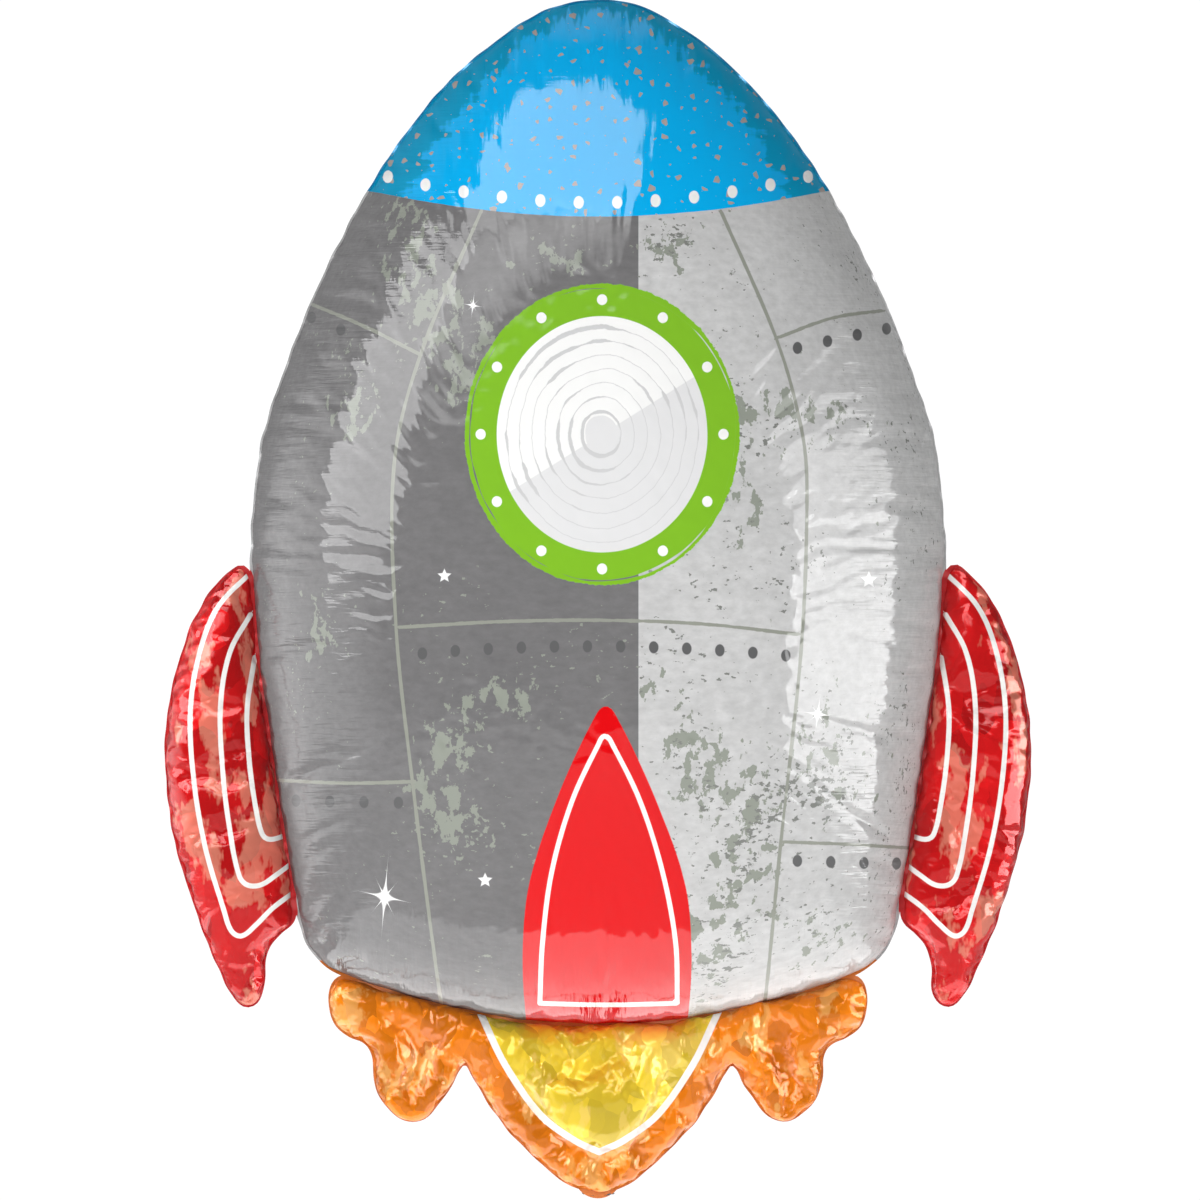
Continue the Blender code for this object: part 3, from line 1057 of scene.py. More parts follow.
class Finish(Nodes):
    """A material under construction: its node tree, its shader and the patterns that inks are made of."""

    # Beside a line, the plain distance may pass the signed one by this much before it counts
    line_slack_mm = 1.3
    # Added to the distance from a small mark beyond its reach, so that no false mark is drawn there
    toll_mm = 90.0
    # A pucker's pattern is this many times as fine along its run as across it
    pucker_run = 0.08
    # How far facets of crumpled film are bent, and in how coarse a noise
    bend = 0.012
    bend_scale = 55.0
    # The clear gloss: full while the film faces the eye, and dulled to a share where it turns away
    coat_ior = 1.38
    coat_roughness = 0.05
    full_gloss_to = 0.45
    dulled_from = 0.95
    dulled_gloss = 0.3

    def __init__(self, name: str) -> None:
        """Starts a material with a Principled shader.

        Args:
            name: The material's name.
        """
        self.material = bpy.data.materials.new(name)
        self.material.use_nodes = True
        super().__init__(self.material.node_tree)
        self.shader = self.tree.nodes["Principled BSDF"]
        self.place = self.add("TexCoord", output="Object")

    def set(self, **values: object) -> None:
        """Sets or links the shader's own sockets; an underscore in a name stands for a space."""
        for name, value in values.items():
            socket = self.shader.inputs[name.replace("_", " ")]
            if isinstance(value, Socket):
                self.tree.links.new(value, socket)
            else:
                socket.default_value = value

    def blotches(
        self, size_mm: float, detail: float = 2.0, stretch: Sequence[float] = (1, 1, 1), seed: float = 0.0
    ) -> Socket:
        """Blotches about size_mm across, from 0 to 1, read on the object's own coordinates.

        Args:
            size_mm: Size of one blotch.
            detail: Finer octaves added to it.
            stretch: How many times finer it is along each axis.
            seed: Moves the pattern, so that two of one size differ.

        Returns:
            The pattern's value.
        """
        moved = {"Vector": self.place, "Location": (seed, seed, seed), "Scale": tuple(stretch)}
        noise = {"Scale": NOISE_BLOTCH_MM / size_mm, "Detail": detail, "Roughness": 0.6}
        return self.add("TexNoise", {"Vector": self.add("Mapping", moved), **noise})

    def ink(self, below: object, ink: object, depth: Socket, soft: float = 0.15) -> tuple[Socket, Socket]:
        """Prints an ink wherever a depth is above zero.

        Args:
            below: The colour under it.
            ink: The ink's colour.
            depth: How far inside the printed shape each place is.
            soft: Half the width over which the edge fades, in the depth's own units.

        Returns:
            The colour, and a mask that is 1 under the ink.
        """
        mask = self.add("MapRange", depth, -soft, soft)
        layers = {MIX_FACTOR: mask, MIX_A: below, MIX_B: ink}
        return self.add("Mix", layers, output=MIX_RESULT, data_type="RGBA"), mask

    def wandering(self, depth: Socket, wander: float, grain: float) -> Socket:
        """Makes a printed edge wander by up to so many millimetres, in waves of a given size."""
        swing = self.add("MapRange", self.blotches(grain, 3.0), 0, 1, -2 * wander, 2 * wander)
        return self.add("Math", depth, swing, operation="ADD")

    def shape(self, name: str, wander: float = 0.1, grain: float = 4.0) -> Socket:
        """Depth inside a shape whose distance is stored on the film, in millimetres."""
        return self.wandering(self.add("Attribute", output="Fac", attribute_name=name), wander, grain)

    def parts(self, name: str) -> bpy.types.bpy_prop_collection:
        """The three numbers of a vector that is stored on the film."""
        stored = self.add("Attribute", output="Vector", attribute_name=name)
        return self.add("SeparateXYZ", stored).node.outputs

    def line(self, name: str, width_mm: float, wander: float = 0.12, grain: float = 4.0) -> Socket:
        """Depth inside printed lines of one width, in millimetres.

        Args:
            name: Name of the shape's attribute.
            width_mm: Width of the lines.
            wander: How far the edge wanders, in millimetres.
            grain: Size of the edge's waves.

        Returns:
            The depth.
        """
        signed, plain, _ = self.parts(name)
        side = self.add("Math", signed, operation="ABSOLUTE")
        slack = self.add("Math", plain, self.line_slack_mm, operation="SUBTRACT")
        away = self.add("Math", side, slack, operation="MAXIMUM")
        return self.wandering(self.add("Math", width_mm / 2, away, operation="SUBTRACT"), wander, grain)

    def offset(self, name: str, reach_mm: float) -> tuple[Socket, Socket, Socket]:
        """Offset from the nearest small mark: across, upwards, and a toll that keeps false marks out.

        Args:
            name: The attribute's name.
            reach_mm: How far the mark reaches, beyond which the toll is charged.

        Returns:
            The three values, in millimetres.
        """
        across, distance, up = self.parts(name)
        return across, up, self.add("MapRange", distance, reach_mm, reach_mm + 1.0, 0, self.toll_mm)

    def dots(self, name: str, size_mm: float, wander: float = 0.12) -> Socket:
        """Depth inside small round marks, in millimetres.

        Args:
            name: Name of the shape's attribute.
            size_mm: Radius of the marks.
            wander: How far the edge wanders, in millimetres.

        Returns:
            The depth.
        """
        flat = self.add("CombineXYZ", *self.offset(name, 5.0))
        reach = self.add("VectorMath", flat, output="Value", operation="LENGTH")
        return self.wandering(self.add("Math", size_mm, reach, operation="SUBTRACT"), wander, 3.0)

    def puckers(self, wave_mm: float) -> Socket:
        """Fine folds that run in from the chamber's seam, from 0 to 1.

        Args:
            wave_mm: Distance between them.

        Returns:
            Their height.
        """
        run = self.pucker_run
        level_share, upright_share, _ = self.parts("pucker")
        level = self.blotches(wave_mm, 3.0, (run, run, 1.0))
        upright = self.blotches(wave_mm, 3.0, (1.0, run, run))
        first = self.add("Math", level, level_share, operation="MULTIPLY")
        return self.add("Math", upright, upright_share, first, operation="MULTIPLY_ADD")

    def crumpled(self, long: float = 0.6) -> Socket:
        """The object's coordinates, bent at random and drawn long upwards, for facets of crumpled film.

        Args:
            long: Upright scale; less than 1 draws the facets out.

        Returns:
            The coordinates.
        """
        noise = {"Vector": self.place, "Scale": self.bend_scale, "Detail": 2.0}
        swing = self.add("TexNoise", noise, output="Color")
        bent = self.add("VectorMath", swing, (self.bend,) * 3, self.place, operation="MULTIPLY_ADD")
        return self.add("VectorMath", bent, (1.0, 1.0, long), operation="MULTIPLY")

    def facet_painted_shading(self, facet_mm: float, dark: float, light: float) -> Socket:
        """A painted shade or painted highlight for each facet of crumpled film, on the same facets as
        creases() raises.

        Args:
            facet_mm: Size of the facets.
            dark: The darkest facet's tone.
            light: The lightest facet's tone.

        Returns:
            The tone.
        """
        facet = self.add("TexVoronoi", {"Vector": self.crumpled(), "Scale": MM / facet_mm}, output="Color")
        return self.add("MapRange", self.add("SeparateColor", facet, output="Red"), 0, 1, dark, light)

    def creases(
        self, height_mm: float, wave_mm: float, reach_mm: float, facet_mm: float = 20.0, crumple: object = 0.0
    ) -> Socket:
        """Surface direction of film with fine puckers that run in from its seam, and crumpled facets.

        Args:
            height_mm: Height of the puckers at the seam.
            wave_mm: Distance between them.
            reach_mm: How far in they are gone.
            facet_mm: Size of the crumpled facets.
            crumple: Their height in millimetres, as a number or a socket.

        Returns:
            A normal for the shader.
        """
        fade = self.add(
            "MapRange", self.parts("pucker")[2], 0, reach_mm, height_mm, 0, interpolation_type="SMOOTHSTEP"
        )
        cells = {"Vector": self.crumpled(), "Scale": MM / facet_mm}
        facets = self.add("TexVoronoi", cells, output="Distance", feature="DISTANCE_TO_EDGE")
        raised = self.add("Math", facets, crumple, operation="MULTIPLY")
        height = self.add("Math", self.puckers(wave_mm), fade, raised, operation="MULTIPLY_ADD")
        return self.add("Bump", {"Height": height, "Distance": 1 / MM, "Strength": 1.0})

    def gloss(
        self, colour: Socket, metal: object, roughness: float, creases: Socket, coat: object = 1.0
    ) -> None:
        """Sets the shader to printed film under a clear gloss, with ink and gloss creased alike.

        The gloss is dulled where the film turns away, because ink scatters more there than a clear coat does.

        Args:
            colour: The inks.
            metal: How metallic they look.
            roughness: Their roughness.
            creases: The film's surface direction.
            coat: The gloss of the clear coat where it faces the eye, from 0 to 1.
        """
        away = self.add("LayerWeight", output="Facing")
        kept = self.add("MapRange", away, self.full_gloss_to, self.dulled_from, 1, self.dulled_gloss)
        self.set(
            Base_Color=colour, Metallic=metal, Roughness=roughness, Specular_IOR_Level=0.0,
            Coat_Weight=self.add("Math", coat, kept, operation="MULTIPLY"), Coat_IOR=self.coat_ior,
            Coat_Roughness=self.coat_roughness, Normal=creases, Coat_Normal=creases,
        )


@dataclass(frozen=True)
class BodyFilm:
    """Body foil: thin nylon film, vacuum-metallised inside and printed outside with gloss inks.

    The design is printed over white, so the inks read as flat, opaque colour; what makes it look like
    foil is the clear gloss over them, which mirrors the studio lamps along every crease, and a darker band
    painted as shade along the nose's seam.
    """

    dark_grey: str = "#797879"
    light_grey: str = "#CDCDCD"
    blue: str = "#00B8FC"
    painted_shade_blue: str = "#05A0CE"
    fleck: str = "#B4AAA4"
    worn: str = "#979C92"
    speck: str = "#858783"
    line: str = "#9A9D93"
    rivet: str = "#656566"
    green: str = "#86C32C"
    white: str = "#FFFFFE"
    star_white: str = "#FFFFFF"
    glass_shade: str = "#EBEBEC"
    glass_ring: str = "#D6D6D7"
    red: str = "#E5060F"
    split_x: float = 0.0246
    split_soft: float = 0.00015
    roughness: float = 0.3
    pucker_height_mm: float = 1.0
    pucker_wave_mm: float = 2.6
    pucker_reach_mm: float = 95.0
    # The greys: brushed grain and broad clouds, and how far each swings their tone
    grain_mm: float = 2.2
    grain_swing: float = 0.24
    cloud_mm: float = 36.0
    cloud_swing: float = 0.12
    # Wear shows where noise and the stored hills, each with its share, pass a limit
    patch_mm: float = 4.6
    patch_share: float = 0.19
    patch_limit: float = 0.72
    patch_soft: float = 0.005
    speck_mm: float = 1.7
    speck_share: float = 0.07
    speck_limit: float = 0.925
    speck_soft: float = 0.012
    cluster_mm: float = 24.0
    cluster_share: float = 0.45
    speck_bias: Pair = (-0.02, 0.015)
    # The nose's shards: one a cell, three-sided, from large to almost none as the cell's chance rises
    fleck_mm: float = 8.0
    fleck_soft: float = 0.00008
    shard_size: Pair = (0.0024, 0.0002)
    shard_share: float = 0.6
    shard_slimness: float = 2.6
    shard_sides: Line = ((0.9, 1.0), (-0.4, 0.8), (0.2, -1.15))
    # The nose's painted rim shade, a darker blue band along its seam: its width at the foot and at the top,
    # and the depth of its teeth
    painted_shade_heights: Pair = (0.6, 0.73)
    painted_shade_mm: Pair = (25.0, 8.0)
    painted_shade_teeth_mm: float = 9.0
    painted_shade_teeth_limits: Pair = (0.3, 0.7)
    painted_shade_soft_mm: float = 1.5
    painted_shade_gloss: float = 0.35
    # The ring's brushed edge, and the slivers inside it
    edge_wander_mm: float = 0.6
    edge_grain_mm: float = 1.2
    sliver_inset_mm: float = 3.0
    sliver_bend_mm: float = 2.6
    sliver_bend_size_mm: float = 45.0
    sliver_size_mm: float = 30.0
    sliver_limits: Pair = (0.47, 0.7)
    sliver_half_mm: Pair = (-0.1, 0.8)
    # The glass: rings as shares of its radius, and the way its shaded part lies
    shade_heading: tuple[float, float, float] = (0.53, 0.0, -0.85)
    shade_soft: float = 0.0003
    ring_pitch: float = 0.06
    ring_half_width: Pair = (0.003, 0.017)
    ring_wobble: float = 0.1
    ring_wobble_mm: float = 16.0
    ring_change_mm: float = 26.0
    ring_change_limits: Pair = (0.5, 0.56)
    disc_radius: float = 0.21
    # Stars and sparkles of one common size, in shares of it
    mark_reach_mm: float = 14.0
    star_dent: float = 0.48
    star_turns: int = 5
    sparkle_curl: float = 0.29
    sparkle_tilt: float = math.radians(8)
    short_rays: float = 0.6

    def build(self) -> Material:
        """Builds the material.

        Returns:
            The material, which reads the attributes that BodyPrint stores.
        """
        layout = BodyPrint()
        film = Finish("metallised_nylon_body_print")
        across = film.add("SeparateXYZ", film.place, output="X")
        light_side = film.add("Math", across, self.split_x, operation="SUBTRACT")
        nose, border = self._nose(film)
        colour = self._worn(film, self._greys(film, light_side), light_side)
        line_mm, dot_mm = layout.line_width * MM, layout.mark_size * MM
        on_nose: object = 0.0
        for ink, depth, soft in (
            (linear(self.line), film.line("upright_lines", line_mm, 0.25, 9.0), 0.15),
            (linear(self.line), film.line("level_lines", line_mm, 0.3, 3.0), 0.15),
            (linear(self.rivet), film.dots("rivets", dot_mm), 0.25),
            (nose, film.shape("nose", 0.15, 6.0), 0.15),
            (linear(self.green), self._ring_depth(film), 0.15),
            (self._glass(film), film.shape("glass", 0.1, 9.0), 0.15),
            (linear(self.red), film.shape("centre_fin", 0.1, 9.0), 0.15),
            (linear(self.white), film.line("fin_line", layout.fin_line_width * MM, 0.06, 6.0), 0.15),
            (linear(self.white), film.dots("white_dots", dot_mm), 0.15),
            (linear(self.star_white), self._star_depth(film), 0.5),
            (linear(self.star_white), self._sparkle_depth(film), 0.1),
        ):
            colour, mask = film.ink(colour, ink, depth, soft)
            on_nose = mask if ink is nose else on_nose
        # Where the rim shade is painted on the nose, the clear gloss is weaker
        dull = film.add("Math", on_nose, border, operation="MULTIPLY")
        coat = film.add("MapRange", dull, 0, 1, 1, self.painted_shade_gloss)
        creases = film.creases(self.pucker_height_mm, self.pucker_wave_mm, self.pucker_reach_mm)
        film.gloss(colour, 0.0, self.roughness, creases, coat)
        return film.material

    def _greys(self, film: Finish, light_side: Socket) -> Socket:
        """The two mottled greys, which meet on an upright line; both are faintly brushed.

        Args:
            film: Film that the nodes are added to.
            light_side: Positive where the lighter grey is.

        Returns:
            The colour.
        """
        grey, _ = film.ink(linear(self.dark_grey), linear(self.light_grey), light_side, self.split_soft)
        grain, cloud = self.grain_swing, self.cloud_swing
        fine = film.blotches(self.grain_mm, 4.0, (0.5, 1, 1))
        fine = film.add("MapRange", fine, 0, 1, 1 - grain, 1 + grain)
        broad = film.add("MapRange", film.blotches(self.cloud_mm, 3.0), 0, 1, 1 - cloud, 1 + cloud)
        both = film.add("Math", fine, broad, operation="MULTIPLY")
        return film.add("VectorMath", {0: grey, "Scale": both}, operation="SCALE")

    def _worn(self, film: Finish, grey: Socket, light_side: Socket) -> Socket:
        """Printed wear: ragged pale patches that gather in a few places, with fine specks round them.

        Args:
            film: Film that the nodes are added to.
            grey: Colour that the wear lies on.
            light_side: Positive where the lighter grey is.

        Returns:
            The worn colour.
        """
        where = film.add("Attribute", output="Fac", attribute_name="worn")
        ragged = film.blotches(self.patch_mm, 9.0, (1.1, 1.0, 0.75))
        depth = film.add("Math", where, self.patch_share, ragged, operation="MULTIPLY_ADD")
        depth = film.add("Math", depth, self.patch_limit, operation="SUBTRACT")
        colour, _ = film.ink(grey, linear(self.worn), depth, self.patch_soft)
        speck, _ = film.ink(linear(self.worn), linear(self.speck), light_side, self.split_soft)
        clusters = film.blotches(self.cluster_mm, 3.0, seed=9.0)
        gathered = film.add("Math", clusters, self.cluster_share, operation="MULTIPLY")
        fine = film.blotches(self.speck_mm, 3.0, (0.6, 1.0, 1.0), seed=3.0)
        fine = film.add("Math", fine, gathered, operation="ADD")
        more = film.add("MapRange", light_side, -0.001, 0.001, *self.speck_bias)
        specks = film.add("Math", fine, more, operation="ADD")
        depth = film.add("Math", where, self.speck_share, specks, operation="MULTIPLY_ADD")
        depth = film.add("Math", depth, self.speck_limit, operation="SUBTRACT")
        return film.ink(colour, speck, depth, self.speck_soft)[0]

    def _shard_depth(self, film: Finish, flat: Socket) -> Socket:
        """Depth inside pale, angular shards: one a cell, turned, slimmed and sized at random.

        Args:
            film: The material.
            flat: The place on the film, as seen from the front.

        Returns:
            The depth in metres.
        """
        grid = {"Vector": flat, "Scale": MM / self.fleck_mm, "Randomness": 1.0}
        cells = film.add("TexVoronoi", grid, voronoi_dimensions="2D").node.outputs
        red, green, blue = film.add("SeparateColor", cells["Color"]).node.outputs
        away = film.add("VectorMath", flat, cells["Position"], operation="SUBTRACT")
        turn = film.add("Math", green, math.tau, operation="MULTIPLY")
        turned = film.add("VectorRotate", {"Vector": away, "Angle": turn}, rotation_type="Z_AXIS")
        long_way, short_way, _ = film.add("SeparateXYZ", turned).node.outputs
        slim = film.add("MapRange", blue, 0, 1, 1, self.shard_slimness)
        long_side = film.add("Math", long_way, slim, operation="MULTIPLY")
        reach = film.add("Math", long_side, operation="ABSOLUTE")
        for lean, share in self.shard_sides:
            leant = film.add("Math", long_side, lean, operation="MULTIPLY")
            edge = film.add("Math", short_way, share, leant, operation="MULTIPLY_ADD")
            reach = film.add("Math", reach, edge, operation="MAXIMUM")
        size = film.add("MapRange", red, 0, self.shard_share, *self.shard_size)
        return film.add("Math", size, reach, operation="SUBTRACT")

    def _nose(self, film: Finish) -> tuple[Socket, Socket]:
        """Blue ink strewn with pale shards; along the seam a darker blue is painted as shade, and there it is
        less glossy.

        Args:
            film: Film that the nodes are added to.

        Returns:
            The colour, and a mask that is 1 on the painted rim shade.
        """
        x, _, z = film.add("SeparateXYZ", film.place).node.outputs
        shards = self._shard_depth(film, film.add("CombineXYZ", x, z))
        # Painted shade: a darker blue band along the nose's seam, wider at its foot, with toothed edges
        wide = film.add("MapRange", z, *self.painted_shade_heights, *self.painted_shade_mm)
        deep = self.painted_shade_teeth_mm
        folds = film.puckers(self.pucker_wave_mm)
        teeth = film.add("MapRange", folds, *self.painted_shade_teeth_limits, -deep, deep)
        border = film.add("Math", wide, teeth, operation="ADD")
        border = film.add("Math", border, film.parts("pucker")[2], operation="SUBTRACT")
        blue, dull = film.ink(linear(self.blue), linear(self.painted_shade_blue), border, self.painted_shade_soft_mm)
        return film.ink(blue, linear(self.fleck), shards, self.fleck_soft)[0], dull

    def _ring_depth(self, film: Finish) -> Socket:
        """The porthole's ring: a brushed outer edge with thin slivers where the brush ran dry.

        Args:
            film: Film that the nodes are added to.

        Returns:
            The depth, in millimetres.
        """
        edge = film.wandering(film.shape("ring", 0.5, 7.0), self.edge_wander_mm, self.edge_grain_mm)
        stored = film.add("Attribute", output="Fac", attribute_name="ring")
        swing = film.blotches(self.sliver_bend_size_mm, 2.0)
        bend = film.add("MapRange", swing, 0, 1, -self.sliver_bend_mm, self.sliver_bend_mm)
        middle = film.add("Math", stored, bend, operation="ADD")
        off = film.add("Math", middle, self.sliver_inset_mm, operation="SUBTRACT")
        off = film.add("Math", off, operation="ABSOLUTE")
        strength = film.blotches(self.sliver_size_mm, 3.0, seed=7.0)
        wide = film.add("MapRange", strength, *self.sliver_limits, *self.sliver_half_mm)
        sliver = film.add("Math", off, wide, operation="SUBTRACT")
        return film.add("Math", edge, sliver, operation="MINIMUM")

    def _glass(self, film: Finish) -> Socket:
        """White porthole glass with thin brushed rings, a middle disc and a shaded lower right.

        Args:
            film: Film that the nodes are added to.

        Returns:
            The colour.
        """
        layout = BodyPrint()
        (x, z), (across, up) = layout.porthole, layout.glass_radii
        centre = film.add("VectorMath", film.place, (x, 0.0, z), operation="SUBTRACT")
        slope = film.add("VectorMath", centre, self.shade_heading, output="Value", operation="DOT_PRODUCT")
        paper, _ = film.ink(linear(self.white), linear(self.glass_shade), slope, self.shade_soft)
        flat = film.add("VectorMath", centre, (1 / across, 0.0, 1 / up), operation="MULTIPLY")
        share = film.add("VectorMath", flat, output="Value", operation="LENGTH")
        wobble = film.blotches(self.ring_wobble_mm, 5.0)
        bent = film.add("Math", wobble, self.ring_wobble, share, operation="MULTIPLY_ADD")
        wave = film.add("Math", bent, self.ring_pitch, operation="PINGPONG")
        change = film.blotches(self.ring_change_mm, 2.0, seed=5.0)
        width = film.add("MapRange", change, *self.ring_change_limits, *self.ring_half_width)
        depth = film.add("Math", width, wave, operation="SUBTRACT")
        rings, _ = film.ink(paper, linear(self.glass_ring), depth, soft=0.003)
        disc = film.add("Math", self.disc_radius, bent, operation="SUBTRACT")
        return film.ink(rings, linear(self.glass_shade), disc, soft=0.004)[0]

    def _star_depth(self, film: Finish) -> Socket:
        """Depth inside five-pointed stars of one common size.

        Args:
            film: Film that the nodes are added to.

        Returns:
            The depth, in millimetres.
        """
        across, up, toll = film.offset("stars", self.mark_reach_mm)
        wedge = math.pi / self.star_turns
        tip, dent = BodyPrint.star_size * MM, BodyPrint.star_size * MM * self.star_dent
        turn = film.add("Math", across, up, operation="ARCTAN2")
        fold = film.add("Math", turn, wedge, operation="PINGPONG")
        flat = film.add("CombineXYZ", across, up, toll)
        reach = film.add("VectorMath", flat, output="Value", operation="LENGTH")
        edge = Vector((dent * math.cos(wedge) - tip, dent * math.sin(wedge)))
        out = Vector((edge.y, -edge.x)).normalized()
        turned = film.add("Math", fold, math.atan2(out.y, out.x), operation="SUBTRACT")
        cosine = film.add("Math", turned, operation="COSINE")
        along = film.add("Math", reach, cosine, operation="MULTIPLY")
        return film.add("Math", out.x * tip, along, operation="SUBTRACT")

    def _sparkle_depth(self, film: Finish) -> Socket:
        """Depth inside thin-rayed sparkles of one common size, upright rays long and slanting ones short.

        Args:
            film: Film that the nodes are added to.

        Returns:
            The depth, in millimetres.
        """
        across, up, toll = film.offset("sparkles", self.mark_reach_mm)
        size, curl, tilt = BodyPrint.star_size * MM, self.sparkle_curl, self.sparkle_tilt
        depths = []
        for turn, share in ((tilt, 1.0), (tilt + math.pi / 4, self.short_rays)):
            roots = []
            for heading in (turn, turn + math.pi / 2):
                part = film.add("Math", across, math.sin(heading), operation="MULTIPLY")
                along = film.add("Math", up, math.cos(heading), part, operation="MULTIPLY_ADD")
                plain = film.add("Math", along, operation="ABSOLUTE")
                roots.append(film.add("Math", plain, curl, operation="POWER"))
            total = film.add("Math", *roots, operation="ADD")
            depths.append(film.add("Math", (share * size) ** curl, total, operation="SUBTRACT"))
        best = film.add("Math", *depths, operation="MAXIMUM")
        return film.add("Math", best, toll, operation="SUBTRACT")


@dataclass(frozen=True)
class ColourFilm:
    """Fin and flame foil: the same film under clear dye inks, with painted shade and painted highlights on
    its facets and in pale patches.
    """

    name: str
    colour: str
    line_shape: str
    line_mm: float
    crumple_mm: float
    calm_axis: str
    calm_at: float
    crumpled_at: float
    heart: Optional[str] = None
    facet_mm: float = 13.0
    # Painted shade and painted highlight: each crumpled facet is darkened or lightened, and pale patches are
    # mixed in as painted highlights
    facet_painted_shading: Pair = (0.66, 1.1)
    cloud_mm: float = 22.0
    cloud_tones: Pair = (0.85, 1.12)
    white: str = "#FBFAF7"
    pale: str = "#FFC8A8"
    painted_highlight_share: float = 0.3
    painted_highlight_limits: Pair = (0.55, 0.59)
    metal: float = 0.15
    roughness: float = 0.3
    pucker_height_mm: float = 0.3
    pucker_wave_mm: float = 2.4
    pucker_reach_mm: float = 16.0

    def build(self) -> Material:
        """Builds the material, which reads the attributes that the chamber's print stores.

        Returns:
            The material.
        """
        film = Finish(self.name)
        broad = film.add("MapRange", film.blotches(self.cloud_mm, 3.0), 0, 1, *self.cloud_tones)
        # Painted shade and painted highlight on each crumpled facet, over a random broad tone
        facets = film.facet_painted_shading(self.facet_mm, *self.facet_painted_shading)
        tone = film.add("Math", broad, facets, operation="MULTIPLY")
        colour: object = linear(self.colour)[:3]
        if self.heart:
            colour, _ = film.ink(linear(self.colour), linear(self.heart), film.shape("heart", 0.1, 6.0))
        colour = film.add("VectorMath", {0: colour, "Scale": tone}, operation="SCALE")
        # Pale patches painted in as highlights
        thin = film.blotches(0.7 * self.facet_mm, 4.0, (1.0, 1.0, 0.5), seed=5.0)
        thin = film.add("MapRange", thin, *self.painted_highlight_limits, 0, self.painted_highlight_share)
        layers = {MIX_FACTOR: thin, MIX_A: colour, MIX_B: linear(self.pale)}
        colour = film.add("Mix", layers, output=MIX_RESULT, data_type="RGBA")
        depth = film.line(self.line_shape, self.line_mm, 0.08, 8.0)
        colour, lines = film.ink(colour, linear(self.white), depth)
        metal = film.add("MapRange", lines, 0, 1, self.metal, 0)
        where = film.add("SeparateXYZ", film.place, output=self.calm_axis)
        where = film.add("Math", where, operation="ABSOLUTE")
        crumple = film.add("MapRange", where, self.calm_at, self.crumpled_at, 0, self.crumple_mm)
        creases = film.creases(
            self.pucker_height_mm, self.pucker_wave_mm, self.pucker_reach_mm, self.facet_mm, crumple
        )
        film.gloss(colour, metal, self.roughness, creases)
        return film.material


@dataclass(frozen=True)
class SealFilm:
    """Heat-sealed edge: the two films pressed into one, duller than the rest and printed to its border, its
    inks darker than the chambers' as painted shade.
    """

    grey: str = "#B4B4B5"
    # The inks that run out over the seal, as print does on the real film, but darker: painted shade where the
    # seal lies in the fold between chambers
    blue: str = "#0580AE"
    red: str = "#C2141A"
    orange: str = "#D2701F"
    tones: Pair = (0.82, 1.2)
    tone_mm: float = 2.0
    press_mm: float = 1.4
    press_depth: float = 0.0003

    def build(self) -> Material:
        """Builds the material, which reads the seal's own attributes.

        Returns:
            The material.
        """
        film = Finish("heat_sealed_film_edge")
        tone = film.add("MapRange", film.blotches(self.tone_mm, 3.0), 0, 1, *self.tones)
        colour = film.add("VectorMath", {0: linear(self.grey)[:3], "Scale": tone}, operation="SCALE")
        for ink, depth in (
            (self.blue, film.shape("nose")),
            (self.red, film.shape("near_fin", 0.2, 3.0)),
            (self.orange, film.shape("near_flame", 0.2, 3.0)),
        ):
            colour, _ = film.ink(colour, linear(ink), depth)
        pressed = {"Height": film.blotches(self.press_mm), "Distance": self.press_depth, "Strength": 0.5}
        film.set(
            Base_Color=colour, Metallic=0.3, Roughness=0.34, Coat_Weight=0.6, Coat_Roughness=0.15,
            Normal=film.add("Bump", pressed),
        )
        return film.material


@dataclass(frozen=True)
class TailFilm:
    """Inflation tail: the unprinted back of the metallised film, a greyed silver with fine creases.

    It mirrors the white studio, so its silver is set low enough to stand out from the floor.
    """

    silver: str = "#AEB0B3"
    crease_mm: float = 4.0
    crease_depth: float = 0.0006
    gloss_mm: float = 9.0
    gloss: Pair = (0.16, 0.3)

    def build(self) -> Material:
        """Builds the material.

        Returns:
            The material.
        """
        film = Finish("metallised_film_silver")
        creased = film.blotches(self.crease_mm, 4.0, (1.0, 1.0, 0.4))
        bump = film.add("Bump", {"Height": creased, "Distance": self.crease_depth, "Strength": 0.5})
        gloss = film.add("MapRange", film.blotches(self.gloss_mm), 0, 1, *self.gloss)
        film.set(Base_Color=linear(self.silver), Metallic=1.0, Roughness=gloss, Normal=bump)
        return film.material


@dataclass(frozen=True)
class ValvePlastic:
    """Valve film: clear polyethylene, slightly milky, with a soft gloss."""

    tint: str = "#E9EEF0"
    ior: float = 1.51
    haze: Pair = (0.3, 0.45)
    haze_mm: float = 3.0

    def build(self) -> Material:
        """Builds the material.

        Returns:
            The material.
        """
        film = Finish("clear_polyethylene_film")
        haze = film.add("MapRange", film.blotches(self.haze_mm, 3.0), 0, 1, *self.haze)
        film.set(Base_Color=linear(self.tint), Roughness=haze, IOR=self.ior, Alpha=0.55, Coat_Weight=0.3)
        return film.material


def subdivide(piece: Piece) -> None:
    """Rounds a piece with one applied level of subdivision.

    Args:
        piece: Piece to change.
    """
    make_active(piece)
    level = piece.modifiers.new("round", "SUBSURF")
    level.levels = level.render_levels = 1
    bpy.ops.object.modifier_apply(modifier=level.name)
    bpy.ops.object.shade_smooth()


